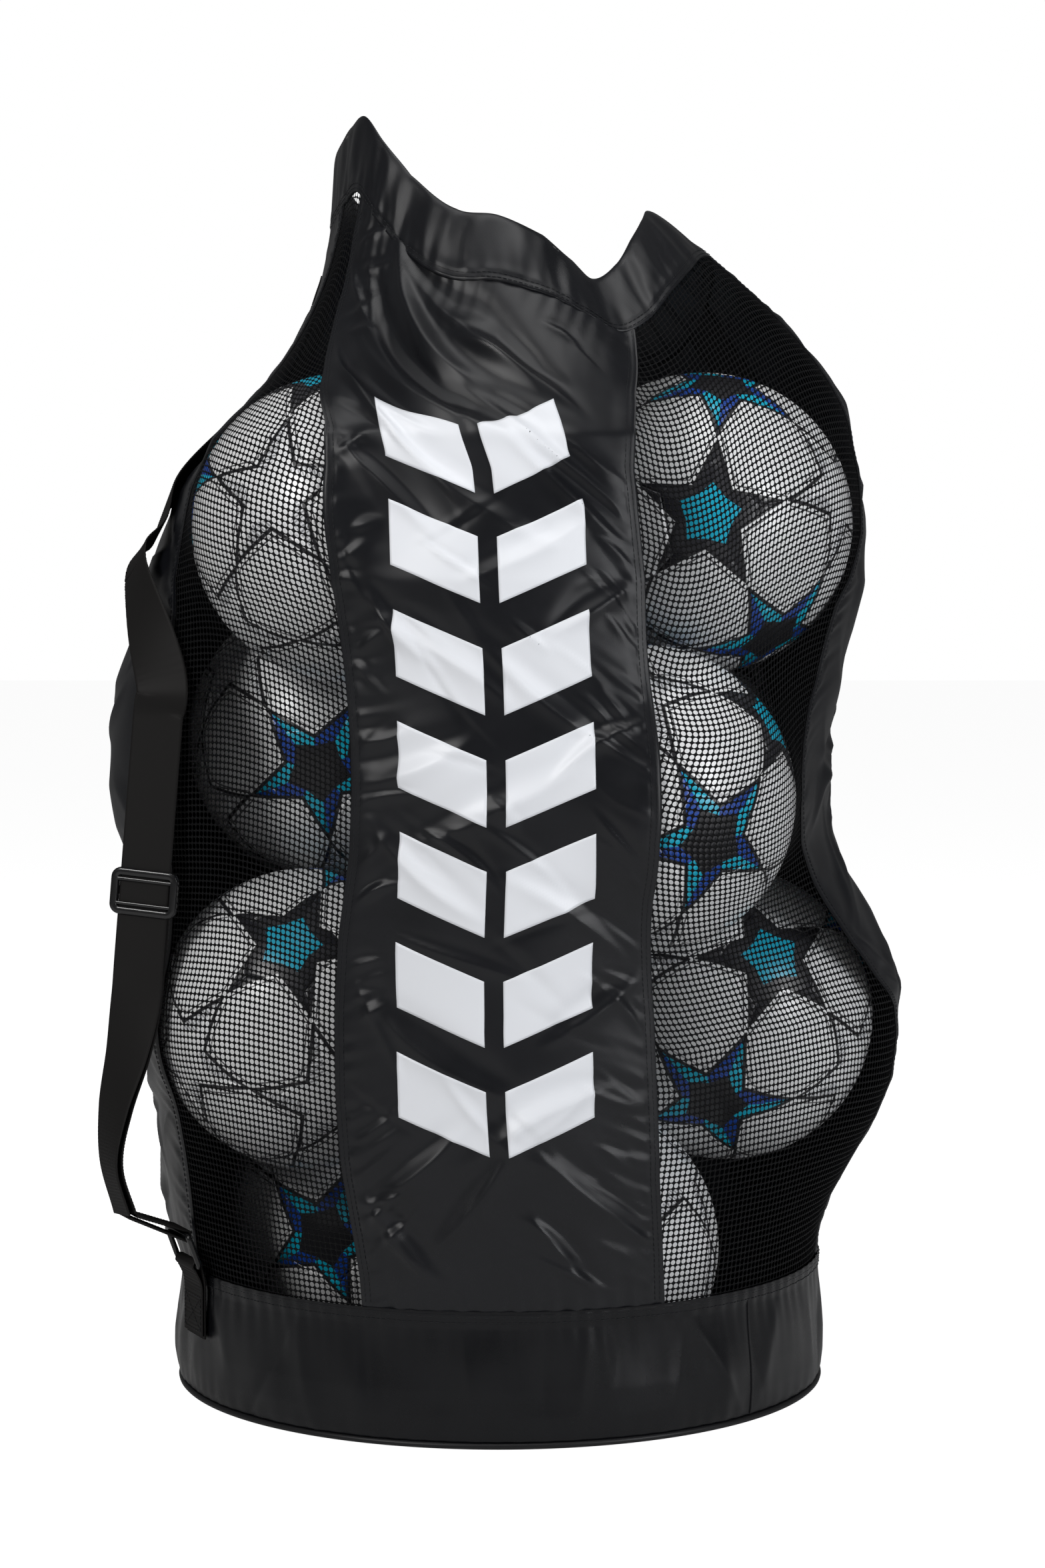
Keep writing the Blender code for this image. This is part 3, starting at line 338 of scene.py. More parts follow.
def skin_normal(angle, share):
    return unit(look_up(NORMALS, angle, share))


def column_length(angle):
    j, j_next, t = columns_at(angle)
    return mix(LENGTHS[j], LENGTHS[j_next], t)


def below_rim(angle, depth):
    """Share of the height at a depth below the rim."""
    return 1.0 - depth / column_length(angle)


def radius_at(angle, z):
    column = SURFACE[:, int(angle % 360.0 / 360.0 * N_ANGLES) % N_ANGLES]
    return float(np.interp(z, column[:, 2], np.hypot(column[:, 0], column[:, 1])))


def measure_row(start, end, share, widths, spill, samples):
    """Angles at widths along the cloth from a row's middle, and the widths of its two ends."""
    part = np.linspace(-spill, 1 + spill, samples)
    angles = start + (end - start) * part
    run = run_length(skin(angles, share))
    run -= np.interp(0.5, part, run)
    return np.interp(widths, run, angles), np.interp((0.0, 1.0), part, run)


# ---- mesh helpers
def add_object(name, data):
    obj = bpy.data.objects.new(name, data)
    bpy.context.scene.collection.objects.link(obj)
    return obj


def place(obj, body, slot, *nodes):
    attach(obj, body)
    if nodes:
        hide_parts(*nodes)


def shade(mesh, sharp):
    for face in mesh.polygons:
        face.use_smooth = True
    mesh.set_sharp_from_angle(angle=math.radians(sharp))


def build(name, verts, polys, mats, uv=None, corner_uv=None, index=None, sharp=None):
    """A mesh object. Polys is a list of (count, corners) arrays; uv is given per vertex."""
    mesh = bpy.data.meshes.new(name)
    sizes = np.concatenate([np.full(len(p), p.shape[1]) for p in polys])
    loops = np.concatenate([np.asarray(p).reshape(-1) for p in polys]).astype(np.int32)
    starts = np.concatenate([[0], np.cumsum(sizes)[:-1]]).astype(np.int32)
    mesh.vertices.add(len(verts))
    mesh.vertices.foreach_set("co", np.ascontiguousarray(verts, np.float32).ravel())
    mesh.loops.add(len(loops))
    mesh.loops.foreach_set("vertex_index", loops)
    mesh.polygons.add(len(sizes))
    mesh.polygons.foreach_set("loop_start", starts)
    mesh.update(calc_edges=True)
    mesh.polygons.foreach_set("use_smooth", np.ones(len(sizes), bool))
    if index is not None:
        mesh.polygons.foreach_set("material_index", np.asarray(index, np.int32))
    if uv is not None:
        corner_uv = uv[loops]
    if corner_uv is not None:
        layer = mesh.uv_layers.new(name="cloth")
        layer.data.foreach_set("uv", np.asarray(corner_uv, np.float32).ravel())
    mesh.validate()
    mesh.update()
    if sharp:
        mesh.set_sharp_from_angle(angle=math.radians(sharp))
    obj = add_object(name, mesh)
    for mat in mats if isinstance(mats, list) else [mats]:
        mesh.materials.append(mat)
    return obj


def strip_quads(idx, nxt):
    """Quads between two grids of vertex numbers, row to row."""
    return np.stack([idx[:-1], nxt[:-1], nxt[1:], idx[1:]], -1).reshape(-1, 4)


def closed_quads(idx, axis):
    """Quads over a grid of vertex numbers that closes both ways, wound from the given axis."""
    nxt = np.roll(idx, -1, axis)
    far = [np.roll(grid, -1, 1 - axis) for grid in (nxt, idx)]
    return np.stack([idx, nxt, *far], -1).reshape(-1, 4)


def wall(a, b, offset):
    return np.stack([a, b, b + offset, a + offset], -1)


def grid_sheet(name, outer, inner, mat, uv=None, wrap=False):
    """Closed body between two grids of points."""
    rows, cols = outer.shape[:2]
    count = rows * cols
    idx = np.arange(count).reshape(rows, cols)
    if wrap:
        front = strip_quads(idx, np.roll(idx, -1, 1))
        walls = [wall(np.roll(idx[0], -1), idx[0], count),
                 wall(idx[-1], np.roll(idx[-1], -1), count)]
    else:
        front = strip_quads(idx[:, :-1], idx[:, 1:])
        ring = np.concatenate([idx[0, :-1], idx[:-1, -1], idx[-1, :0:-1], idx[:0:-1, 0]])
        walls = [wall(np.roll(ring, -1), ring, count)]
    if uv is not None:
        uv = np.concatenate([uv.reshape(-1, 2)] * 2)
    verts = np.concatenate([outer.reshape(-1, 3), inner.reshape(-1, 3)])
    return build(name, verts, [front, front[:, ::-1] + count] + walls, mat, uv=uv)


def tube_rings(path, radius, sides, closed=False, ref=(0, 0, 1)):
    """Rings of points around a path, kept from twisting."""
    path = np.asarray(path, float)
    if closed:
        tangent = unit(np.roll(path, -1, 0) - np.roll(path, 1, 0))
    else:
        tangent = unit(np.gradient(path, axis=0))
    side = np.zeros_like(path)
    ref = np.array(ref, float)
    if abs(tangent[0] @ ref) > 0.9:
        ref = np.array((1.0, 0, 0))
    for i in range(len(path)):
        ref = square_to(ref, tangent[i])
        side[i] = ref
    other = np.cross(tangent, side)
    turn = (np.arange(sides) * TAU / sides)[None, :, None]
    return path[:, None] + radius * (side[:, None] * np.cos(turn) + other[:, None] * np.sin(turn))


def loft(name, rings, mat, closed=False, uv=None):
    """Closed body through rings of points."""
    idx = np.arange(rings.shape[0] * rings.shape[1]).reshape(rings.shape[:2])
    if closed:
        polys = [closed_quads(idx, 1)]
    else:
        polys = [strip_quads(idx, np.roll(idx, -1, 1)), idx[0][::-1][None], idx[-1][None]]
    return build(name, rings.reshape(-1, 3), polys, mat, uv=uv, sharp=50)


def frame_of(origin, z, x):
    z = Vector(z).normalized()
    x = Vector(x)
    x = (x - z * x.dot(z)).normalized()
    frame = Matrix((x, z.cross(x), z)).transposed().to_4x4()
    frame.translation = Vector(origin)
    return frame


def transform(frame, points):
    frame = np.array(frame)
    return points @ frame[:3, :3].T + frame[:3, 3]


def lathe(name, profile, steps, frame, mat, sharp=40):
    """Turned body. The profile is (radius, height); without a point on the axis it closes."""
    bm = bmesh.new()
    closed = all(r > 1e-9 for r, _ in profile)
    rings = []
    for r, h in profile:
        turns = [k * TAU / steps for k in range(steps)] if r > 1e-9 else [0.0]
        rings.append([bm.verts.new(frame @ Vector((r * math.cos(a), r * math.sin(a), h)))
                      for a in turns])
    count = len(rings)
    for i in range(count if closed else count - 1):
        low, high = rings[i], rings[(i + 1) % count]
        for k in range(steps):
            after = (k + 1) % steps
            if len(low) == 1:
                bm.faces.new((low[0], high[k], high[after]))
            elif len(high) == 1:
                bm.faces.new((low[k], low[after], high[0]))
            else:
                bm.faces.new((low[k], low[after], high[after], high[k]))
    bmesh.ops.recalc_face_normals(bm, faces=bm.faces)
    mesh = bpy.data.meshes.new(name)
    bm.to_mesh(mesh)
    bm.free()
    shade(mesh, sharp)
    mesh.materials.append(mat)
    return add_object(name, mesh)


# ---- materials
class Nodes:
    """Node tree of a material or world. An input takes a socket, a number or an RGB colour."""

    def __init__(self, owner):
        owner.use_nodes = True
        self.tree = owner.node_tree

    def set(self, name, inputs):
        sockets = self.tree.nodes[name].inputs
        for key, value in inputs.items():
            if isinstance(value, bpy.types.NodeSocket):
                self.tree.links.new(value, sockets[key])
            else:
                sockets[key].default_value = (*value, 1) if isinstance(value, tuple) else value

    def add(self, kind, inputs=None, **settings):
        node = self.tree.nodes.new("ShaderNode" + kind)
        for key, value in settings.items():
            setattr(node, key, value)
        self.set(node.name, inputs or {})
        return node

    def math(self, operation, *values, clamp=False):
        inputs = dict(enumerate(values))
        return self.add("Math", inputs, operation=operation, use_clamp=clamp).outputs[0]

    def mix(self, fac, a, b):
        return self.add("Mix", {0: fac, 6: a, 7: b}, data_type="RGBA").outputs[2]

    def noise(self, vector, scale, detail):
        inputs = {"Vector": vector, "Scale": scale, "Detail": detail}
        return self.add("TexNoise", inputs).outputs["Fac"]

    def cloth_uv(self):
        """The cloth UV map, and its two coordinates."""
        uv = self.add("UVMap", uv_map="cloth").outputs[0]
        parts = self.add("SeparateXYZ", {0: uv}).outputs
        return uv, parts[0], parts[1]


def new_material(name):
    material = bpy.data.materials.new(name)
    return material, Nodes(material)


def plain(name, colour, rough, metal=0.0, coat=0.0, sheen=0.0, spec=0.5):
    material, nodes = new_material(name)
    nodes.set("Principled BSDF", {
        "Base Color": colour, "Roughness": rough, "Metallic": metal,
        "Coat Weight": coat, "Coat Roughness": 0.12,
        "Sheen Weight": sheen, "Sheen Roughness": 0.5, "Specular IOR Level": spec})
    material.diffuse_color = (*colour, 1)
    return material


def cloth_material(name, dark, pale, rough, weave, spec):
    """Black satin nylon: fine diagonal weave, slow colour and gloss changes."""
    material, nodes = new_material(name)
    calc = nodes.math
    uv, across, up = nodes.cloth_uv()
    # two thread directions, 0.72 mm apart
    pitch = TAU / 0.00072 * 0.7071
    warp = calc("SINE", calc("MULTIPLY", calc("ADD", across, up), pitch))
    weft = calc("SINE", calc("MULTIPLY", calc("SUBTRACT", across, up), pitch))
    threads = calc("ADD", calc("MULTIPLY", warp, 0.6), calc("MULTIPLY", weft, 0.4))
    slow = nodes.noise(uv, scale=26.0, detail=4.0)
    fine = nodes.noise(uv, scale=900.0, detail=2.0)
    tone = calc("ADD", calc("MULTIPLY", slow, 0.8),
                calc("MULTIPLY", calc("ADD", threads, 1.0), 0.12), clamp=True)
    gloss = nodes.add("MapRange", {"Value": slow, "To Min": rough[0], "To Max": rough[1]})
    height = calc("ADD", threads, calc("MULTIPLY", fine, 0.9))
    bump = nodes.add("Bump", {"Strength": weave, "Distance": 0.000045, "Height": height})
    nodes.set("Principled BSDF", {
        "Base Color": nodes.mix(tone, dark, pale), "Roughness": gloss.outputs[0],
        "Normal": bump.outputs[0], "Specular IOR Level": spec, "Sheen Weight": 0.0,
        "Sheen Roughness": 0.45, "Sheen Tint": (0.75, 0.83, 1.0)})
    return material


NYLON = cloth_material("nylon_satin", dark=(0.0030, 0.0033, 0.0044),
                       pale=(0.0088, 0.0094, 0.0120), rough=(0.24, 0.36), weave=0.6, spec=0.32)
BAND_CLOTH = cloth_material("nylon_band", dark=(0.0028, 0.0030, 0.0038),
                            pale=(0.0062, 0.0066, 0.0082), rough=(0.22, 0.34), weave=0.5,
                            spec=0.25)
NET_YARN = plain("net_yarn", (0.0050, 0.0051, 0.0058), rough=0.55, spec=0.09)
THREAD = plain("stitch_thread", (0.014, 0.015, 0.017), rough=0.55, spec=0.2)
# dark cloth of the seam tapes, also used for the broad strips of painted shade at the back
TAPE_AND_SHADE_CLOTH = plain("binding_tape_and_shade", (0.005, 0.005, 0.0055), rough=0.7, spec=0.1)
PRINT = plain("white_print", (0.80, 0.82, 0.86), rough=0.42)
WEB = plain("webbing", (0.0090, 0.0084, 0.0082), rough=0.60, spec=0.16)
GLOSS = plain("black_plastic", (0.007, 0.007, 0.0075), rough=0.24, coat=0.25, spec=0.35)
MATT = plain("matt_plastic", (0.009, 0.009, 0.010), rough=0.42, spec=0.3)
CORD = plain("cord_sheath", (0.020, 0.020, 0.022), rough=0.6, sheen=0.3)
STEEL = plain("spring_steel", (0.62, 0.62, 0.63), rough=0.28, metal=1.0)
EYELET = plain("eyelet_metal", (0.55, 0.55, 0.56), rough=0.3, metal=1.0)
BOARD = plain("board_fibre", (0.035, 0.035, 0.036), rough=0.7)
PIPING = plain("piping_cloth", (0.007, 0.007, 0.008), rough=0.45, spec=0.3)
BASE_CLOTH = plain("base_cloth", (0.011, 0.011, 0.013), rough=0.55, sheen=0.12)
JOIN_FOLD = plain("join_fold", (0.006, 0.0063, 0.0075), rough=0.40, spec=0.3)

# ---- netting
NET_PITCH = 0.0044
NET_HOLE_R = 0.00182
NET_TOP = 0.050  # below the rim, inside the hem
NET_HALF_T = 0.00022
NET_REACH = 132  # half columns of holes laid out to each side


def net_part(name, cells, points, normals):
    """Round holes in rows and columns; each bar of yarn is thickest along its middle."""
    row, col = cells.T
    corner_rows = row[:, None] + np.array((1, 1, -1, -1))
    corner_cols = col[:, None] + np.array((1, -1, -1, 1))
    knots, front = np.unique((corner_rows * 1000 + corner_cols).ravel(), return_inverse=True)
    front = front.reshape(-1, 4)
    count = len(knots)
    knot_at = knots // 1000, knots % 1000
    base, lift = points[knot_at], normals[knot_at] * NET_HALF_T
    right, left = points[row, col + 1], points[row, col - 1]
    above, below = points[row + 1, col], points[row - 1, col]
    middle = 0.25 * (right + left + above + below)
    turn = np.radians(45 + 30.0 * np.arange(12))[None, :, None]
    ratio = NET_HOLE_R / (NET_PITCH / 2)
    rim = middle[:, None] + ratio * (np.cos(turn) * 0.5 * (right - left)[:, None]
                                     + np.sin(turn) * 0.5 * (above - below)[:, None])
    verts = np.concatenate([base + lift, base - lift, rim.reshape(-1, 3)])
    after = np.roll(front, -1, 1)
    hole = (2 * count + np.arange(12 * len(cells))).reshape(-1, 12)
    hole0, hole1, hole2 = hole[:, 0::3], hole[:, 1::3], hole[:, 2::3]
    hole3 = np.roll(hole0, -1, 1)
    face = np.stack([front, after, hole3, hole2, hole1, hole0], -1).reshape(-1, 6)
    rear = np.stack([after + count, front + count, hole0, hole1, hole2, hole3], -1).reshape(-1, 6)
    # the net's own edge: bars with one cell only
    low, high = np.minimum(front, after).ravel(), np.maximum(front, after).ravel()
    _, first, uses = np.unique(low.astype(np.int64) * count + high,
                               return_index=True, return_counts=True)
    edge = first[uses == 1]
    rim_wall = wall(after.ravel()[edge], front.ravel()[edge], count)
    obj = build(name, verts, [face, rear, rim_wall], NET_YARN)
    obj.visible_shadow = False  # the net lies on the balls: its shadow hides behind its bars
    place(obj, "bag", "net")
    return obj


def netting(name, node_name, first, second, parts):
    """A mesh panel between two joins, in parts stacked up the bag."""
    length = np.mean(column_length(np.linspace(JOIN_LOW[first], JOIN_LOW[second], 9)))
    rows = int(round((length - NET_TOP) / NET_PITCH))
    levels = np.arange(2 * rows + 1) / (2 * rows)
    share = levels * 0.94
    for _ in range(2):
        start, end = join_span(first, second, share)
        share = levels * below_rim((start + end) / 2, NET_TOP)
    widths = np.arange(-NET_REACH, NET_REACH + 1) * NET_PITCH / 2
    measured = [measure_row(*row, widths, spill=0.16, samples=260)
                for row in zip(start, end, share)]
    angles, ends = (np.array(column) for column in zip(*measured))
    shares = levels[:, None] * below_rim(angles, NET_TOP)
    points, normals = skin(angles, shares), skin_normal(angles, shares)
    cells = []
    margin = 0.0021  # holes may centre this far past a join
    cols = np.arange(1, len(widths) - 1, 2)
    for row in range(1, 2 * rows, 2):
        inside = (widths[cols] > ends[row, 0] - margin) & (widths[cols] < ends[row, 1] + margin)
        cells.append(np.stack([np.full(inside.sum(), row), cols[inside]], -1))
    cells = np.concatenate(cells)
    cell_rows = cells[:, 0]
    cuts = np.linspace(0, len(cells), parts + 1).astype(int)[1:-1]
    bounds = [-9, *cell_rows[cuts], cell_rows[-1] + 9]
    for part in range(parts):
        chosen = cells[(cell_rows >= bounds[part]) & (cell_rows < bounds[part + 1])]
        net_part("%s_%d" % (name, part + 1), chosen, points, normals)
    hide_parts(node_name)


for _side, _first, _second, _parts in (("front_left", 4, 5, 3), ("front_right", 6, 7, 2),
                                       ("back_right", 0, 1, 1), ("back_left", 2, 3, 1)):
    netting("netting_" + _side, "mesh_" + _side, _first, _second, _parts)


# ---- folds in cloth
class Folds:
    """Displacement of a cloth panel as a sum of creases, in metres of (width, height)."""

    def __init__(self, seed):
        self.rng = random.Random(seed)
        self.items = []

    def crease(self, width, y, degrees, half, wide, amp, bend, skew):
        """A ridge of half length half, with a groove beside it; bend curves it."""
        self.items.append((width, y, math.radians(degrees), half, wide, amp, bend, skew))

    def scatter(self, count, box, degrees, half, wide, amp):
        """Random creases in a box (width from, to, height from, to); the rest are ranges."""
        rng = self.rng
        for _ in range(count):
            self.crease(rng.uniform(*box[:2]), rng.uniform(*box[2:]),
                        rng.choice(degrees) + rng.gauss(0, 11), rng.uniform(*half),
                        rng.uniform(*wide), rng.uniform(*amp) * rng.choice((1, 1, -0.7)),
                        rng.gauss(0, 2.5), rng.uniform(0.2, 0.9))

    def value(self, width, y):
        out = np.zeros_like(width)
        for crease_w, crease_y, turn, half, wide, amp, bend, skew in self.items:
            dx, dy = width - crease_w, y - crease_y
            along = dx * math.cos(turn) + dy * math.sin(turn)
            aside = -dx * math.sin(turn) + dy * math.cos(turn) - bend * along * along
            near = (np.abs(along) < half) & (np.abs(aside) < wide * 4)
            along, aside = along[near], aside[near]
            taper = (1 - (along / half) ** 2) ** 1.5
            spread = wide * (0.55 + 0.45 * taper)
            ridge = np.exp(-(np.abs(aside) / spread) ** 1.3)
            groove = bell(aside - 1.7 * spread, 1.1 * spread)
            out[near] += amp * taper * (ridge - skew * groove)
        return out


def waves(width, y, seed, count, low, high, amp):
    """Slow unevenness: random plane waves between two wavelengths."""
    rng = random.Random(seed)
    out = np.zeros_like(width)
    for _ in range(count):
        turn = rng.uniform(0, math.pi)
        wavelength = rng.uniform(low, high)
        along = width * math.cos(turn) + y * math.sin(turn)
        out += np.sin(along * TAU / wavelength + rng.uniform(0, TAU))
    return out * amp / math.sqrt(count)


class Panel:
    """A solid panel in its own coordinates: width from its centre line, share of the height."""

    LAP = 0.0055  # cloth past each join

    def __init__(self, first, second, seed):
        self.seed = seed
        self.folds = Folds(seed)
        self.shares = np.linspace(0, 1, 260)
        self.widths = np.linspace(-0.26, 0.26, 521)
        start, end = join_span(first, second, self.shares)
        self.height = float(column_length((start[0] + end[0]) / 2))
        measured = [measure_row(*row, self.widths, spill=0.2, samples=160)
                    for row in zip(start, end, self.shares)]
        self.angles, self.ends = (np.array(column) for column in zip(*measured))

    def edges(self, share):
        return [np.interp(share, self.shares, self.ends[:, k]) for k in (0, 1)]

    def angle(self, width, share):
        row = np.clip(share, 0, 1) * (len(self.shares) - 1)
        i = np.minimum(row.astype(int), len(self.shares) - 2)
        col = (width - self.widths[0]) / (self.widths[1] - self.widths[0])
        j = np.clip(col.astype(int), 0, len(self.widths) - 2)
        table, t = self.angles, col - j
        return mix(mix(table[i, j], table[i, j + 1], t),
                   mix(table[i + 1, j], table[i + 1, j + 1], t), row - i)

    def puckers(self, width, share):
        """Small gathers along both sewn edges, the base seam and the hem."""
        start, end = self.edges(share)
        y = share * self.height
        out = np.zeros_like(width)
        for inset, phase in ((width - start, 0.0), (end - width, 2.1)):
            drift = 1.3 * np.sin(y * TAU / 0.083 + phase)
            wobble = np.sin(y * TAU / 0.0171 + phase + drift - inset * 165)
            drift = 1.1 * np.sin(y * 31)
            wobble += 0.6 * np.sin(y * TAU / 0.0113 + 2 * phase - inset * 240 + drift)
            fade = np.exp(-np.clip(inset - 0.005, 0, 1) / 0.012) * smooth(inset / 0.006)
            out += 0.00065 * wobble * fade * (0.55 + 0.45 * np.sin(y * 17.0 + phase * 3))
        base = np.sin(width * TAU / 0.0135 + 1.1 * np.sin(width * 60) + y * 40)
        base += 0.5 * np.sin(width * TAU / 0.021 + y * 25)
        out += 0.0007 * base * np.exp(-y / 0.020) * smooth(y / 0.003)
        below_hem = np.clip((self.height - HEM_W) - y, 0, 1)
        hem = np.sin(width * TAU / 0.0125 + 1.4 * np.sin(width * 75) - y * 45)
        return out + 0.0003 * hem * np.exp(-below_hem / 0.022)

    def lift(self, width, share):
        """Displacement outwards of the cloth's middle."""
        start, end = self.edges(share)
        y = share * self.height
        inset = np.minimum(width - start, end - width)
        out = 1.35 * self.folds.value(width, y)
        out += waves(width, y, self.seed, count=9, low=0.06, high=0.15, amp=0.0010)
        out = out * smooth((inset + 0.002) / 0.016) * smooth((y + 0.004) / 0.030)
        out = np.maximum(np.where(out < 0, out * 0.75, out), -0.0030)
        return out + self.puckers(width, share) + 0.00085  # the last clears the net under it

    def column_z(self, width):
        angles = self.angle(np.full_like(self.shares, width), self.shares)
        return skin(angles, self.shares)[:, 2]

    def level_share(self, width, y):
        """Share at a width where the cloth is as high as point y of the centre line."""
        columns = np.linspace(-0.09, 0.09, 73)
        heights = [self.column_z(x) for x in columns]
        target = np.interp(y, self.shares * self.height, self.column_z(0.0))
        where = np.clip((width - columns[0]) / (columns[1] - columns[0]),
                        0, len(columns) - 1.001)
        column = where.astype(int)
        out = np.zeros_like(width)
        for k in range(len(columns) - 1):
            here = column == k
            low, high = (np.interp(target[here], heights[n], self.shares) for n in (k, k + 1))
            out[here] = mix(low, high, (where - column)[here])
        return out

    def at(self, width, share, off=0.0):
        angle = self.angle(width, share)
        lift = self.lift(width, share) + off
        return skin(angle, share) + skin_normal(angle, share) * lift[..., None]


# ---- solid panels
def sewn_edge(inset, bead, bead_at, bead_w, grooves, roll):
    """Height of a turned-under edge: a soft bead, two stitch grooves and a rolled lip."""
    dip = sum(bell(inset - at, 0.0007) for at in grooves)
    return bead * bell(inset - bead_at, bead_w) - 0.0003 * dip - roll * smooth(1 - inset / 0.0012)


PANEL_GROOVES = (0.0036, 0.0072)  # stitch rows, in from the panel's edge
BAND_GROOVES = (0.0038, 0.0078)  # stitch rows, down from the band's top


def panel_cloth(panel, name, node_name, spacing):
    top = 1 - HEM_LINE / panel.height
    widest = float((panel.ends[:, 1] - panel.ends[:, 0]).max())
    levels = np.linspace(0.0, 1.0, int(panel.height * top / spacing) + 1)
    start, end = (edge[:, None] for edge in panel.edges(levels * top))
    across = np.linspace(0, 1, int(widest / spacing) + 1)
    width = (start - panel.LAP) + ((end - start) + 2 * panel.LAP) * across
    angle = panel.angle(width, (levels * top)[:, None])
    # the top follows the hem's stitch line at each angle
    share = levels[:, None] * below_rim(angle, HEM_LINE)
    points = panel.at(width, share)
    normals = skin_normal(angle, share)
    inset = np.minimum(width - (start - panel.LAP), (end + panel.LAP) - width)
    relief = sewn_edge(inset, bead=0.00042, bead_at=0.0016, bead_w=0.0016,
                       grooves=PANEL_GROOVES, roll=0.00075)
    outer = points + normals * (CLOTH_T / 2 + relief)[..., None]
    inner = points - normals * (CLOTH_T / 2)
    uv = np.stack([width, share * panel.height], -1)
    place(grid_sheet(name, outer, inner, NYLON, uv=uv), "bag", "nylon", node_name)


# (width, height, degrees, half length, ridge width, amplitude, bend, groove share)
FRONT_CREASES = (
    # the drop from the taller peak and the hollow under the hem
    (-0.030, 0.700, -52, 0.085, 0.0120, 0.0060, 1.5, 0.8),
    (-0.052, 0.664, -46, 0.075, 0.0085, 0.0042, 2.0, 0.9),
    (0.010, 0.700, -38, 0.080, 0.0110, 0.0052, -1.5, 0.9),
    (0.045, 0.672, -33, 0.060, 0.0080, 0.0040, -2.0, 0.8),
    (-0.022, 0.628, -28, 0.090, 0.0120, 0.0046, 1.8, 0.9),
    (0.040, 0.615, -42, 0.060, 0.0075, 0.0036, 1.0, 0.9),
    (-0.066, 0.618, -25, 0.050, 0.0080, 0.0034, 3.0, 0.7),
    (0.060, 0.574, -38, 0.055, 0.0070, 0.0034, 2.0, 0.9),
    (-0.070, 0.560, -30, 0.050, 0.0075, 0.0030, -3.0, 0.8),
    (-0.020, 0.566, -33, 0.080, 0.0090, 0.0030, 2.0, 0.8),
    (0.030, 0.528, 32, 0.060, 0.0070, 0.0030, 2.0, 0.9),
    (0.075, 0.500, 40, 0.045, 0.0060, 0.0030, 1.0, 0.8),
    (-0.072, 0.470, -40, 0.050, 0.0065, 0.0028, 1.0, 0.8),
    (-0.030, 0.452, -30, 0.060, 0.0080, 0.0030, -2.0, 0.8),
    (0.030, 0.430, -35, 0.070, 0.0075, 0.0028, 2.0, 0.8),
    (0.070, 0.405, 38, 0.050, 0.0060, 0.0030, -2.0, 0.8),
    (-0.060, 0.372, 24, 0.060, 0.0080, 0.0026, 2.0, 0.8),
    (0.000, 0.350, 28, 0.080, 0.0090, 0.0028, 1.0, 0.8),
    (-0.050, 0.300, -35, 0.055, 0.0070, 0.0026, 1.0, 0.8),
    (0.050, 0.285, -30, 0.060, 0.0070, 0.0026, -2.0, 0.8),
    (0.070, 0.215, 35, 0.050, 0.0065, 0.0028, 1.0, 0.8),
    (-0.045, 0.180, -32, 0.070, 0.0090, 0.0030, 2.0, 0.8),
    (0.025, 0.140, 30, 0.070, 0.0080, 0.0030, -2.0, 0.8),
    (-0.060, 0.098, 38, 0.060, 0.0070, 0.0034, 2.0, 0.8),
    (-0.015, 0.085, 52, 0.060, 0.0070, 0.0032, 2.0, 0.8),
    (0.060, 0.085, -40, 0.060, 0.0080, 0.0034, 2.0, 0.8),
    (0.035, 0.045, -55, 0.040, 0.0060, 0.0030, 1.0, 0.8),
    (-0.075, 0.050, -50, 0.040, 0.0060, 0.0030, 1.0, 0.8),
)


def front_folds(folds):
    for row in FRONT_CREASES:
        folds.crease(*row)
    folds.scatter(40, (-0.10, 0.10, 0.02, 0.60), (-38, -38, -30, 36),
                  half=(0.020, 0.055), wide=(0.0026, 0.0050), amp=(0.0006, 0.0017))
    folds.scatter(7, (-0.10, 0.10, 0.58, 0.72), (-45, -30),
                  half=(0.040, 0.080), wide=(0.0040, 0.0070), amp=(0.0012, 0.0026))
    # short pulls that start at the sewn edges
    rng = folds.rng
    for _ in range(64):
        y = rng.uniform(0.02, 0.74)
        side = rng.choice((-1, 1))
        folds.crease(side * rng.uniform(0.078, 0.094), y, -side * rng.uniform(18, 48),
                     half=rng.uniform(0.014, 0.034), wide=rng.uniform(0.0022, 0.0042),
                     amp=rng.uniform(0.0006, 0.0016), bend=rng.gauss(0, 4), skew=0.7)


def other_folds(folds, count, reach):
    box = (-reach, reach, 0.03, 0.74)
    folds.scatter(count, box, (-40, 35, -60, 60),
                  half=(0.030, 0.085), wide=(0.0050, 0.0110), amp=(0.0010, 0.0030))
    folds.scatter(count, box, (-38, 38),
                  half=(0.015, 0.040), wide=(0.0028, 0.0055), amp=(0.0005, 0.0014))


FRONT_PANEL = Panel(5, 6, seed=11)
front_folds(FRONT_PANEL.folds)
panel_cloth(FRONT_PANEL, "front_panel_cloth", "front_panel", spacing=0.00205)
PANELS = {"front": FRONT_PANEL}
# side, joins, seed, number of folds, half width they cover, mesh spacing
for _side, _joins, _seed, _count, _reach, _spacing in (("right", (7, 0), 21, 34, 0.11, 0.0024),
                                                       ("back", (1, 2), 31, 70, 0.21, 0.0031),
                                                       ("left", (3, 4), 41, 34, 0.11, 0.0024)):
    _panel = PANELS[_side] = Panel(*_joins, _seed)
    other_folds(_panel.folds, _count, _reach)
    panel_cloth(_panel, _side + "_panel_cloth", _side + "_panel", _spacing)

# ---- print on the front panel: seven rows of two slanted bars
PRINT_TOP = 0.632
PRINT_LOW = 0.104
PRINT_ROWS = 7
PRINT_PITCH = (PRINT_TOP - PRINT_LOW) / PRINT_ROWS
BAR_THICK = PRINT_PITCH * 0.60
BAR_RISE = 0.026  # from the inner end to the outer end
BAR_INNER = 0.0065
BAR_OUTER = 0.068


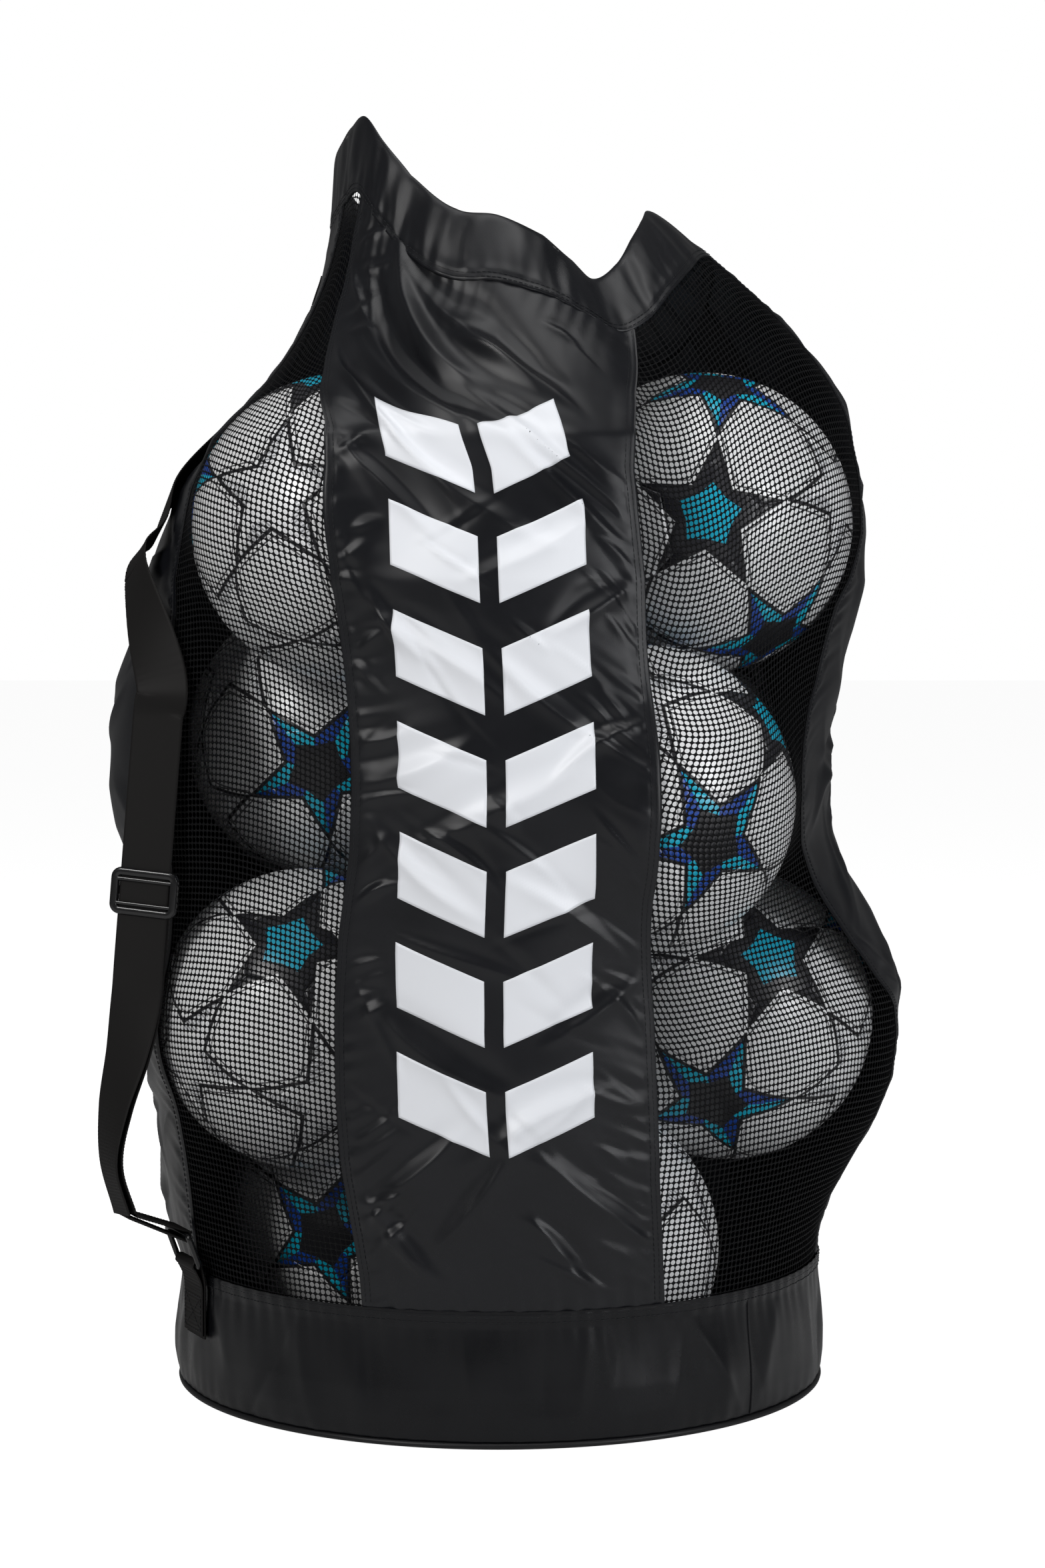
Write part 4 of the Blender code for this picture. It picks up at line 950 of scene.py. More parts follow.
def print_bar(name, corners, step=0.0022):
    """A film of ink over a four-sided patch, corners in (width, height)."""
    corners = np.array(corners, float)

    def steps(*pairs):
        return max(2, int(max(np.linalg.norm(corners[a] - corners[b]) for a, b in pairs) / step))

    s, t = np.meshgrid(np.linspace(0, 1, steps((1, 0), (2, 3)) + 1),
                       np.linspace(0, 1, steps((3, 0), (2, 1)) + 1))
    s, t = s[..., None], t[..., None]
    patch = mix(mix(corners[0], corners[1], s), mix(corners[3], corners[2], s), t)
    width = patch[..., 0]
    share = FRONT_PANEL.level_share(width, patch[..., 1])
    outer, inner = (FRONT_PANEL.at(width, share, CLOTH_T / 2 + off) for off in (0.00056, -0.0001))
    place(grid_sheet(name, outer, inner, PRINT), "bag", "nylon")


for _row in range(1, PRINT_ROWS + 1):
    _y = PRINT_TOP - PRINT_PITCH * _row + 0.010
    for _name, _sign in (("left", -1), ("right", 1)):
        _in, _out = (BAR_INNER * _sign, _y), (BAR_OUTER * _sign, _y + BAR_RISE)
        _low = (_out, _in) if _sign < 0 else (_in, _out)
        _high = [(_w, _h + BAR_THICK) for _w, _h in reversed(_low)]
        print_bar("print_bar_%d_%s" % (_row, _name), [*_low, *_high])


# ---- hem
def hem():
    count = 900
    angle = np.arange(count) * 360.0 / count
    length = column_length(angle)
    # half section: depth below the rim and offset from the surface
    depths = np.concatenate([np.linspace(HEM_W, HEM_LINE, 4),
                             np.linspace(HEM_W - 0.008, 0.006, 20), (0.0035, 0.0015, 0.0004)])
    flat, full = 0.0010, 0.0024
    part = np.clip(1 - depths / HEM_LINE, 0, 1)
    swell = flat + (full - flat) * np.sin(math.pi * part * 0.94 + 0.10) ** 0.55
    offsets = np.where(depths > HEM_LINE - 0.0002, flat, swell)
    offsets[-3:] *= (0.92, 0.66, 0.34)  # rounded over at the rim
    depths = np.concatenate([depths, [0.0], depths[::-1]])
    offsets = np.concatenate([offsets, [0.0], -offsets[::-1]])
    along = run_length(skin(angle, 1 - HEM_W / 2 / length))
    ends = skin(angle[[0, -1]], 1 - HEM_W / 2 / length[[0, -1]])
    whole = along[-1] + np.linalg.norm(ends[0] - ends[1])

    def wave(period, phase):
        """A wave that meets itself after one turn."""
        return np.sin(along / whole * TAU * max(1, round(whole / period)) + phase)

    points = np.zeros((count, len(depths), 3))
    uv = np.zeros((count, len(depths), 2))
    for k, (depth, offset) in enumerate(zip(depths, offsets)):
        normal = skin_normal(angle, 1 - max(depth, 0.006) / length)
        x = depth / HEM_W
        # gathers run up from the stitch line and fade towards the rim
        ruck = 0.00020 * wave(0.0120, 1.0 + 1.2 * wave(0.09, 0.4)[0]) * smooth((x - 0.35) / 0.5)
        ruck += (0.00130 * (wave(0.047, 0.3 + 2.0 * x) * wave(0.21, 2.0))
                 * math.sin(math.pi * min(x * 1.1, 1)))
        ruck += 0.00045 * wave(0.021, x * 3.0) * wave(0.15, 1.0) * smooth(x / 0.2)
        if x > 0.86:
            ruck *= 0.5
        outside = offset >= 0
        lap = 0.0007 * outside * smooth((x - 0.7) / 0.2)
        points[:, k] = skin(angle, 1 - depth / length) + normal * (offset + ruck + lap)[:, None]
        uv[:, k, 0] = along
        uv[:, k, 1] = depth if outside else -depth
    idx = np.arange(count * len(depths)).reshape(count, -1)
    obj = build("hem_channel_cloth", points.reshape(-1, 3), [closed_quads(idx, 0)], NYLON,
                uv=uv.reshape(-1, 2))
    place(obj, "bag", "nylon", "hem_channel")


hem()

# ---- base band and bottom
# (z, radius)
BAND_PROFILE = (
    (0.0, 0.2388), (0.004, 0.2405), (0.010, 0.2418), (0.022, 0.2427), (0.040, 0.2425),
    (0.060, 0.2412), (0.078, 0.2398), (0.0900, 0.2392), (0.0955, 0.2395),
)


def band_radius(angle, z):
    """Radius of the base band's cloth: its profile, upright folds, gathers and dents."""
    middle = np.sin(math.pi * np.clip(z / BAND_H, 0, 1)) ** 0.7
    rng = random.Random(77)
    folds = np.zeros(np.broadcast(angle, z).shape)
    for _ in range(46):
        centre = rng.uniform(0, 360)
        wide = rng.uniform(1.0, 3.2)
        amp = rng.uniform(0.0008, 0.0027) * rng.choice((1, 1, -0.8))
        lean = rng.gauss(0, 60)
        fold_z, fold_h = rng.uniform(0.01, 0.08), rng.uniform(0.03, 0.08)
        off = half_turn(angle - centre - (z - fold_z) * lean)
        folds = folds + amp * np.exp(-(np.abs(off) / wide) ** 1.6) * bell(z - fold_z, fold_h)
    turn = np.radians(angle)
    top = (0.00035 * np.sin(turn * 118 + 2.0 * np.sin(turn * 9) + z * 50)
           * np.exp(-np.clip(BAND_H - 0.006 - z, 0, 1) / 0.016))
    low = (0.00030 * np.sin(turn * 96 + 2.2 * np.sin(turn * 7))
           * np.exp(-z / 0.014) * smooth(z / 0.006))
    dent = 0.0011 * np.sin(turn * 11 + 1.0) * np.sin(turn * 5 + z * 60) * middle
    return ramp(BAND_PROFILE, z) + folds * middle + (top + low) + dent


def base_band():
    count = 880
    angle, z = np.meshgrid(np.arange(count) * 360.0 / count, np.linspace(0.0044, BAND_TOP, 56))
    middle = band_radius(angle, z) + 0.0012 * smooth((z - 0.084) / 0.006)
    relief = sewn_edge(BAND_TOP - z, bead=0.0004, bead_at=0.0018, bead_w=0.0015,
                       grooves=BAND_GROOVES, roll=0.0008)
    obj = grid_sheet("base_band_cloth", polar(middle + relief + 0.0003, angle, z),
                     polar(middle - 0.0003, angle, z), BAND_CLOTH,
                     uv=np.stack([np.radians(angle) * 0.24, z], -1), wrap=True)
    place(obj, "bag", "nylon", "base_band")


def base_piping():
    count, sides = 360, 12
    path = polar(BASE_R + 0.0023, np.arange(count) * 360.0 / count, 0.0024)
    obj = loft("base_piping_cord", tube_rings(path, 0.0022, sides, closed=True), PIPING,
               closed=True, uv=np.zeros((count * sides, 2)))
    place(obj, "bag", "nylon", "base_piping")


def base_plates():
    disc = ((0, 0.0), (0.2340, 0.0), (BASE_R, 0.0004), (BASE_R, 0.0010), (0.2380, 0.0012),
            (0, 0.0012))
    place(lathe("base_disc_cloth", disc, 180, Matrix(), BASE_CLOTH), "bag", "nylon", "base_disc")
    board = ((0, 0.0015), (0.2330, 0.0015), (0.2335, 0.0020), (0.2335, 0.0036),
             (0.2330, 0.0040), (0, 0.0040))
    place(lathe("base_board_plate", board, 120, Matrix(), BOARD), "bag", "board", "base_board")


def band_join():
    """Upright ridge where the band's ends meet, at the front right."""
    angle = np.full(60, 318.0)
    z = np.linspace(0.006, 0.090, 60)
    path = polar(band_radius(angle, z) + 0.0004, angle, z)
    place(loft("band_join_ridge", tube_rings(path, 0.0009, 10), JOIN_FOLD), "bag", "nylon")


base_band()
base_piping()
base_plates()
band_join()


# ---- seam tapes inside the joins; the four at the back are broad dark strips of painted shade behind the netting
TAPE_TOP = 0.051  # below the rim
# broad strips close most of the narrow netting at the back, (from, to) past the join; their dark
# cloth is painted shade, a dark sheet standing for the dark seen through that netting
BROAD_SHADE_STRIPS = {0: (-0.004, 0.0320), 1: (-0.0320, 0.004), 2: (-0.004, 0.0280), 3: (-0.0280, 0.004)}


def seam_tape(k):
    levels = np.linspace(0.0, 1.0, 220)
    angle = join_at(k, levels * 0.94)
    angle = join_at(k, levels * below_rim(angle, TAPE_TOP))
    share = (levels * below_rim(angle, TAPE_TOP))[:, None]
    radius = np.linalg.norm(skin(angle[:, None], share)[..., :2], axis=-1)
    # the first four joins take the broad strips of painted shade, the rest a narrow seam tape
    across = np.linspace(*BROAD_SHADE_STRIPS.get(k, (-0.00425, 0.00425)), 13 if k < 4 else 5)
    angle = angle[:, None] + np.degrees(across / radius)
    points, normals = skin(angle, share), skin_normal(angle, share)
    # of two strips that overlap, one lies deeper
    outer, inner = (0.00090, 0.00125) if k in (1, 3) else (0.00035, 0.00080)
    obj = grid_sheet("seam_tape_%d_cloth" % (k + 1), points - normals * outer,
                     points - normals * inner, TAPE_AND_SHADE_CLOTH)
    place(obj, "bag", "binding", "seam_tape_%d" % (k + 1))


for _k in range(8):
    seam_tape(_k)

# ---- stitching
STITCH_L = 0.0031
STITCH_GAP = 0.0008
STITCH_R = 0.00026


def stitch_mesh():
    """One stitch, a plump thread that dips into the cloth at its ends, in unit sizes."""
    # (place along, radius, height)
    stations = np.array(((-0.5, 0.25, -0.7), (-0.36, 0.85, 0.35), (0.0, 1.0, 0.75),
                         (0.36, 0.85, 0.35), (0.5, 0.25, -0.7)))
    x, radius, height = stations.T[..., None]
    sides = 6
    turn = np.arange(sides) * TAU / sides
    points = np.stack(np.broadcast_arrays(x, radius * np.cos(turn),
                                          radius * np.sin(turn) + height), -1)
    idx = np.arange(len(stations) * sides).reshape(-1, sides)
    quads = strip_quads(idx, np.roll(idx, -1, 1))[:, ::-1]
    return points.reshape(-1, 3), quads, np.stack([idx[0], idx[-1][::-1]])


STITCH_POINTS, STITCH_QUADS, STITCH_CAPS = stitch_mesh()


def stitch_line(path, normal):
    """Points of the stitches laid along a path, and their number."""
    run = run_length(path)
    count = int(run[-1] / (STITCH_L + STITCH_GAP))
    mids = (np.arange(count) + 0.5) * (run[-1] / count)
    along = unit(sample(mids + 0.0012, run, path) - sample(mids - 0.0012, run, path))
    out = square_to(sample(mids, run, normal), along)
    x, y, z = (STITCH_POINTS * (STITCH_L, STITCH_R, STITCH_R)).T[..., None]
    points = (sample(mids, run, path)[:, None] + along[:, None] * x
              + np.cross(out, along)[:, None] * y + out[:, None] * z)
    return points.reshape(-1, 3), count


def stitch_object(name, lines):
    """Stitches along several lines, each a path with its normals."""
    verts, counts = zip(*(stitch_line(*line) for line in lines))
    quads, caps, base = [], [], 0
    size = len(STITCH_POINTS)
    for count in counts:
        starts = (base + np.arange(count) * size)[:, None, None]
        quads.append((STITCH_QUADS + starts).reshape(-1, 4))
        caps.append((STITCH_CAPS + starts).reshape(-1, 6))
        base += count * size
    polys = [np.concatenate(quads), np.concatenate(caps)]
    place(build(name, np.concatenate(verts), polys, THREAD), "bag", "binding")


def panel_lines(panel):
    share = np.linspace(0.008, 1 - (HEM_W + 0.002) / panel.height, 700)
    start, end = panel.edges(share)
    lines = []
    for edge, inward in ((start - panel.LAP, 1), (end + panel.LAP, -1)):
        for inset in PANEL_GROOVES:
            width = edge + inward * inset
            lines.append((panel.at(width, share, CLOTH_T / 2 - 0.00012),
                          skin_normal(panel.angle(width, share), share)))
    return lines


def ring_stitches():
    """Two rows round the band's top, and two round the hem on each face."""
    angle = np.linspace(0, 360, 2400)
    lines = []
    for inset in BAND_GROOVES:
        z = BAND_TOP - inset
        radius = band_radius(angle, np.full_like(angle, z)) + 0.0012 + 0.00012
        lines.append((polar(radius, angle, z), polar(1.0, angle, 0.0)))
    stitch_object("band_stitches", lines)
    for name, side, off in (("outer", 1, 0.0020), ("inner", -1, 0.0011)):
        lines = []
        for depth in (HEM_LINE, HEM_LINE + 0.0035):
            share = below_rim(angle, depth)
            normal = skin_normal(angle, share) * side
            lines.append((skin(angle, share) + normal * off, normal))
        stitch_object("hem_stitches_" + name, lines)


for _side, _panel in PANELS.items():
    stitch_object("seam_stitches_" + _side, panel_lines(_panel))
ring_stitches()

# ---- balls
PHI = (1 + 5 ** 0.5) / 2
SIGNS = [(a, b) for a in (-1, 1) for b in (-1, 1)]
ICO = np.array([(a, b * PHI, 0) for a, b in SIGNS] + [(0, a, b * PHI) for a, b in SIGNS]
               + [(b * PHI, 0, a) for a, b in SIGNS], float)
ICO /= np.linalg.norm(ICO[0])
ICO_DOTS = ICO @ ICO.T
ICO_NEAR = ICO_DOTS > 0.4
np.fill_diagonal(ICO_NEAR, False)


def pole_axes(i, j):
    """Two axes across icosahedron corner i, the first towards corner j."""
    first = square_to(ICO[j], ICO[i])
    return first, np.cross(ICO[i], first)


def ball_panels():
    """Corners of the 12 pentagons and 20 hexagons."""
    panels = []
    for i in range(12):
        near = np.where(ICO_NEAR[i])[0]
        first, second = pole_axes(i, near[0])
        turns = [math.atan2(ICO[j] @ second, ICO[j] @ first) for j in near]
        panels.append([(2 * ICO[i] + ICO[near[k]]) / 3 for k in np.argsort(turns)])
    for i in range(12):
        for j in range(i + 1, 12):
            for k in range(j + 1, 12):
                if ICO_NEAR[i, j] and ICO_NEAR[j, k] and ICO_NEAR[i, k]:
                    a, b, c = ICO[i], ICO[j], ICO[k]
                    if np.cross(b - a, c - a) @ (a + b + c) < 0:
                        b, c = c, b
                    panels.append([(2 * p + q) / 3 for start, end in ((a, b), (b, c), (c, a))
                                   for p, q in ((start, end), (end, start))])
    return panels


def panel_rings(corners, splits=10):
    """Rings of a panel from its sunk seam inwards, and its middle."""
    corners = unit(np.array(corners))
    middle = unit(corners.sum(0))
    border = unit(np.array([mix(p, q, s / splits)
                            for p, q in zip(corners, np.roll(corners, -1, 0))
                            for s in range(splits)]))
    size = math.acos(np.clip(border[splits // 2] @ middle, -1, 1)) * BALL_R * 1000
    # (mm in from the seam, mm sunk)
    seam = ((0.45, 0.85), (0.9, 0.42), (1.5, 0.14), (2.4, 0.03), (4.0, 0.0))
    shares = [1.0] + [1 - inset / size for inset, _ in seam]
    shares += list(np.linspace(1 - 6.5 / size, 0.18, 5))
    sunk = [1.15] + [depth for _, depth in seam] + [0.0] * 5
    rings = [unit(mix(middle, border, t)) * (BALL_R - depth / 1000 - 0.00018 * t * t)
             for t, depth in zip(shares, sunk)]
    return rings, middle * BALL_R


def ball_arrays():
    """Vertices, faces, pattern coordinates per corner, and the nearest pentagon per face."""
    verts, quads, tris, base = [], [], [], 0
    for corners in ball_panels():
        rings, middle = panel_rings(corners)
        idx = base + np.arange(len(rings) * len(rings[0])).reshape(len(rings), -1)
        nxt = np.roll(idx, -1, 1)
        base += idx.size
        quads.append(strip_quads(idx, nxt))
        tris.append(np.stack([idx[-1], nxt[-1], np.full(len(idx[-1]), base)], -1))
        verts += [*rings, middle[None]]
        base += 1
    verts = np.concatenate(verts)
    keys = np.round(verts * 1e6).astype(np.int64)
    _, first, merged = np.unique(keys, axis=0, return_index=True, return_inverse=True)
    merged = merged.reshape(-1)
    verts = verts[first]
    faces = [merged[np.concatenate(group)] for group in (quads, tris)]
    directions = unit(verts)
    axes = [pole_axes(i, np.argmax(np.where(ICO_NEAR[i], ICO_DOTS[i], -9))) for i in range(12)]
    uv, pentagons = [], []
    for group in faces:
        nearest = np.argmax(directions[group].mean(1) @ ICO.T, 1)
        pentagons.append(nearest)
        for face, pole in zip(group, nearest):
            corner = directions[face]
            away = np.arccos(np.clip(corner @ ICO[pole], -1, 1))
            x, y = corner @ axes[pole][0], corner @ axes[pole][1]
            flat = np.maximum(np.hypot(x, y), 1e-9)
            uv.append(np.stack([away * x / flat, away * y / flat], -1))
    return verts, faces, np.concatenate(uv), np.concatenate(pentagons)


def ball_material(name, tip, arm_a, arm_b, core, echo_strength):
    """Pale skin with a star on each pentagon: two-tone arms, centre, outline and thin echo."""
    material, nodes = new_material(name)
    calc = nodes.math
    uv, x, y = nodes.cloth_uv()
    radius = calc("SQRT", calc("ADD", calc("MULTIPLY", x, x), calc("MULTIPLY", y, y)))
    turn = calc("ARCTAN2", y, x)
    fifth = TAU / 5
    shifted = calc("ADD", turn, fifth / 2 + TAU)
    folded = calc("SUBTRACT", calc("MODULO", shifted, fifth), fifth / 2)
    mirrored = calc("ABSOLUTE", folded)
    along = calc("MULTIPLY", radius, calc("COSINE", mirrored))
    aside = calc("MULTIPLY", radius, calc("SINE", mirrored))

    def star(outer, ratio):
        """Distance from an arm's edge line, negative inside."""
        inner = outer * ratio
        edge_x = inner * math.cos(math.pi / 5) - outer
        edge_y = inner * math.sin(math.pi / 5)
        length = math.hypot(edge_x, edge_y)
        return calc("SUBTRACT",
                    calc("MULTIPLY", calc("SUBTRACT", aside, 0.0), -edge_x / length),
                    calc("MULTIPLY", calc("SUBTRACT", along, outer), -edge_y / length))

    def within(distance, limit, soft=0.0035):
        return nodes.add("MapRange", {
            "Value": distance, "From Min": limit - soft, "From Max": limit + soft,
            "To Min": 1.0, "To Max": 0.0}).outputs[0]

    edge = star(tip, 0.42)
    side = calc("GREATER_THAN", folded, 0.0)
    colour = nodes.mix(nodes.noise(uv, scale=9.0, detail=3.0),
                       (0.80, 0.805, 0.815), (0.88, 0.885, 0.89))
    echo = calc("MULTIPLY", within(edge, 0.060), calc("SUBTRACT", 1.0, within(edge, 0.050)))
    colour = nodes.mix(calc("MULTIPLY", echo, echo_strength), colour, (0.03, 0.03, 0.035))
    colour = nodes.mix(calc("MULTIPLY", within(edge, 0.026), 1.0), colour, INK)
    arms = nodes.mix(side, arm_a, arm_b)
    # hatch on one half of each arm
    hatch = calc("GREATER_THAN", calc("SINE", calc("MULTIPLY", along, 260.0)), 0.15)
    hatch = calc("MULTIPLY", calc("MULTIPLY", hatch, side), 0.55)
    arms = nodes.mix(hatch, arms, (0.02, 0.02, 0.03))
    colour = nodes.mix(within(edge, 0.0), colour, arms)
    colour = nodes.mix(within(star(tip * 0.46, 0.72), 0.0), colour, core)
    nodes.set("Principled BSDF", {"Base Color": colour, "Roughness": 0.33,
                                  "Coat Weight": 0.15, "Coat Roughness": 0.2})
    return material


WHITE = (0.84, 0.845, 0.855)
INK = (0.018, 0.018, 0.021)
BALL_MATS = [
    ball_material("ball_star_open", tip=0.50, arm_a=WHITE, arm_b=(0.74, 0.75, 0.77),
                  core=WHITE, echo_strength=1.0),
    ball_material("ball_star_blue", tip=0.50, arm_a=(0.008, 0.44, 0.62),
                  arm_b=(0.012, 0.075, 0.42), core=INK, echo_strength=0.6),
    ball_material("ball_star_dark", tip=0.46, arm_a=(0.035, 0.035, 0.04), arm_b=INK,
                  core=(0.010, 0.40, 0.58), echo_strength=1.0),
]
PENTAGON_MATS = np.array((0, 1, 0, 2, 0, 1, 2, 0, 1, 0, 2, 0))
# degrees each ball is turned about x, then y, then z
SPINS = ((20, 50, 10), (110, 15, 60), (200, 75, 140), (35, 120, 5), (75, 20, 250), (160, 60, 95),
         (15, 95, 300), (250, 40, 20), (60, 60, 60), (10, 10, 120), (140, 30, 200))


def balls():
    verts, faces, uv, pentagons = ball_arrays()
    for number, (centre, spin) in enumerate(zip(BALLS, SPINS), 1):
        turn_x, turn_y, turn_z = (Matrix.Rotation(math.radians(degrees), 3, axis)
                                  for degrees, axis in zip(spin, "XYZ"))
        turn = np.array(turn_z @ turn_y @ turn_x)
        obj = build("ball_%02d_shell" % number, verts @ turn.T + np.array(centre), faces,
                    BALL_MATS, corner_uv=uv, index=PENTAGON_MATS[pentagons])
        body = "loose_ball" if number == len(BALLS) else "bag"
        place(obj, body, "ball", "ball_%02d" % number)


balls()

# ---- shoulder strap
RUN_TOP = np.array((-0.2400, -0.1360, 0.5300))  # ends of the strap's straight run
RUN_LOW = np.array((-0.2600, -0.1320, 0.3000))
UP = np.array((0, 0, 1.0))
WIRE_R = 0.0021
LOOP_R = WIRE_R + 0.0003 + WEB_T / 2 + 0.0002  # webbing's middle round the ring's wire
RING_ANGLE = 205.5
RING_OUT = polar(1.0, RING_ANGLE, 0.0)
RING_ALONG = polar(1.0, RING_ANGLE - 90, 0.0)
RING_LOW = polar(0.2500, RING_ANGLE, 0.1040)
RING_TOP = polar(0.2585, RING_ANGLE, 0.1270)
RUN_ACROSS = polar(1.0, -15, 0.0)
LOW_ACROSS = -RING_ALONG
# strap down the shoulder, (angle, z, offset from the cloth, angle it faces)
SHOULDER = (
    (140, 0.806, 0.0058, 140), (142, 0.774, 0.0058, 142), (149, 0.739, 0.0064, 149),
    (164, 0.703, 0.0060, 164), (184, 0.664, 0.0052, 184), (193, 0.634, 0.0080, 194),
)
# strap below the straight run, (x, y, z) and share of the turn towards the ring
LOWER = (
    ((-0.2670, -0.1300, 0.262), 0.35), ((-0.2775, -0.1290, 0.220), 0.7),
    ((-0.2810, -0.1295, 0.180), 1.0), ((-0.2715, -0.1292, 0.143), 1.0),
)
STRAP_PER = 12  # curve points between two stations


def lay(angle, z, off):
    """A point off the bag's cloth."""
    return polar(radius_at(angle, z) + off, angle, z)


def strap_stations():
    """Points of the strap and its width directions."""
    points = [lay(angle, z, off) for angle, z, off, _ in SHOULDER]
    points.append(np.array((-0.2646, -0.0759, 0.6070)))  # hangs free of the cloth
    facing = [row[3] for row in SHOULDER] + [203]
    last = len(points) - 1
    across = [unit(np.cross(polar(1.0, face, 0.35),
                            points[min(i + 1, last)] - points[max(i - 1, 0)]))
              for i, face in enumerate(facing)]
    for t in (0.0, 0.12, 0.3, 0.5, 0.7, 0.88, 1.0):
        points.append(RUN_TOP + (RUN_LOW - RUN_TOP) * t)
        across.append(RUN_ACROSS)
    for point, turn in LOWER:
        points.append(np.array(point))
        across.append(mix(RUN_ACROSS, LOW_ACROSS, turn))
    return points, across


def webbing(name, path, across, width=WEB_W, step=0.00125):
    """Ribbed webbing: warp cords side by side, weft ribs across, rounded selvedges."""
    (path, across), run = resample(path, step, across)
    tangent = unit(np.gradient(path, axis=0))
    across = square_to(across, tangent)
    normal = np.cross(tangent, across)
    cols = np.arange(37)
    part = np.linspace(-1, 1, len(cols))
    x = part * width / 2
    edge = np.clip(1 - np.abs(part), 0, 1)
    half_t = WEB_T / 2 * np.sqrt(np.clip(1 - (1 - np.minimum(edge / 0.06, 1)) ** 2, 0.02, 1))
    fade = np.minimum(edge / 0.05, 1)
    rib = 0.00016 * np.cos(run[:, None] / 0.0025 * TAU + math.pi * (cols % 2) * 0.9)
    cord = 0.00010 * np.cos(cols * math.pi)
    middle = path[:, None] + across[:, None] * x[None, :, None]
    upper = middle + normal[:, None] * (half_t + (rib + cord) * fade)[..., None]
    lower = middle + normal[:, None] * (-half_t + (-rib + cord) * fade)[..., None]
    uv = np.stack(np.broadcast_arrays(x, run[:, None]), -1)
    return grid_sheet(name, upper, lower, WEB, uv=uv), (path, across, normal, run)


def nudge(point, towards, distance):
    return point + unit(towards - point) * distance


def inner_side(i, off):
    """A point on the side of strap station i that faces the bag."""
    tangent = STATIONS[min(i + 1, LAST)] - STATIONS[i - 1]
    normal = unit(np.cross(ACROSS[i], tangent))
    if np.dot(normal[:2], STATIONS[i][:2]) > 0:
        normal = -normal
    return STATIONS[i] + normal * off


def around_wire(centre, degrees):
    """Points of webbing round a bar of the ring."""
    return [centre + (RING_OUT * math.cos(math.radians(d)) + UP * math.sin(math.radians(d)))
            * LOOP_R for d in degrees]


STATIONS, ACROSS = strap_stations()
LAST = len(STATIONS) - 1
STRAP = catmull(STATIONS, STRAP_PER)
STRAP_ACROSS = catmull(ACROSS, STRAP_PER)
SPLIT = len(SHOULDER) * STRAP_PER  # where the strap leaves the bag
# the adjuster sits on the straight run at this height
GLIDE_Z = 0.3760
GLIDE_AT = RUN_TOP + (RUN_LOW - RUN_TOP) * ((RUN_TOP[2] - GLIDE_Z) / (RUN_TOP[2] - RUN_LOW[2]))
GLIDE_DIR = unit(RUN_LOW - RUN_TOP)
GLIDE_ACROSS = square_to(RUN_ACROSS, GLIDE_DIR)
GLIDE_OUT = np.cross(GLIDE_DIR, GLIDE_ACROSS)


def strap_runs():
    """Upper run along the bag, free run, loop through the ring and return to the adjuster."""
    path = np.vstack([STRAP[:SPLIT], [nudge(STRAP[SPLIT], STRAP[SPLIT - 1], 0.0002)]])
    obj, _ = webbing("strap_shoulder_webbing", path, STRAP_ACROSS[:SPLIT + 1])
    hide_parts("strap_shoulder_run")
    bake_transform(obj)

    obj, _ = webbing("strap_free_webbing", STRAP[SPLIT:], STRAP_ACROSS[SPLIT:])
    place(obj, "strap", "webbing", "strap_webbing")

    turn = around_wire(RING_TOP, range(-66, -245, -8))
    inner_end = inner_side(LAST, 0.0052)
    path = catmull([nudge(STATIONS[LAST], turn[0], 0.0004), *turn,
                    nudge(inner_end, turn[-1], 0.0004)], 4)
    obj, _ = webbing("strap_ring_loop_webbing", path, np.tile(LOW_ACROSS, (len(path), 1)),
                     step=0.0008)
    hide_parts("strap_ring_loop")
    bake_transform(obj)

    back_up = (LAST - 1, LAST - 2, LAST - 3)
    end = GLIDE_AT - GLIDE_OUT * 0.0052 + GLIDE_DIR * 0.0010
    path = [inner_end, *(inner_side(i, 0.0046) for i in back_up), RUN_LOW - GLIDE_OUT * 0.0046,
            end + GLIDE_DIR * 0.030, end]
    across = [LOW_ACROSS, *(ACROSS[i] for i in back_up)] + [RUN_ACROSS] * 3
    obj, _ = webbing("strap_return_webbing", catmull(path, STRAP_PER),
                     catmull(across, STRAP_PER), width=WEB_W - 0.001)
    place(obj, "strap", "webbing", "strap_return")


def rounded_path(half_w, half_h, radius, per=8):
    """Flat rounded rectangle."""
    points = []
    for sign_x, sign_y, start in ((1, 1, 0), (-1, 1, 90), (-1, -1, 180), (1, -1, 270)):
        for k in range(per + 1):
            turn = math.radians(start + 90 * k / per)
            points.append((sign_x * (half_w - radius) + radius * math.cos(turn),
                           sign_y * (half_h - radius) + radius * math.sin(turn)))
    return np.array(points)


def swept_frame(path, half_w, half_h, power=3.4, sides=20):
    """Rings of a bar along a flat path, its section a rounded box."""
    tangent = unit(np.roll(path, -1, 0) - np.roll(path, 1, 0))
    out = np.stack([tangent[:, 1], -tangent[:, 0]], -1)
    turn = np.arange(sides) * TAU / sides
    wide, high = (np.sign(wave) * np.abs(wave) ** (2 / power) * half
                  for wave, half in ((np.cos(turn), half_w), (np.sin(turn), half_h)))
    flat = path[:, None] + out[:, None] * wide[None, :, None]
    return np.concatenate([flat, np.broadcast_to(high[:, None], (*flat.shape[:2], 1))], -1)


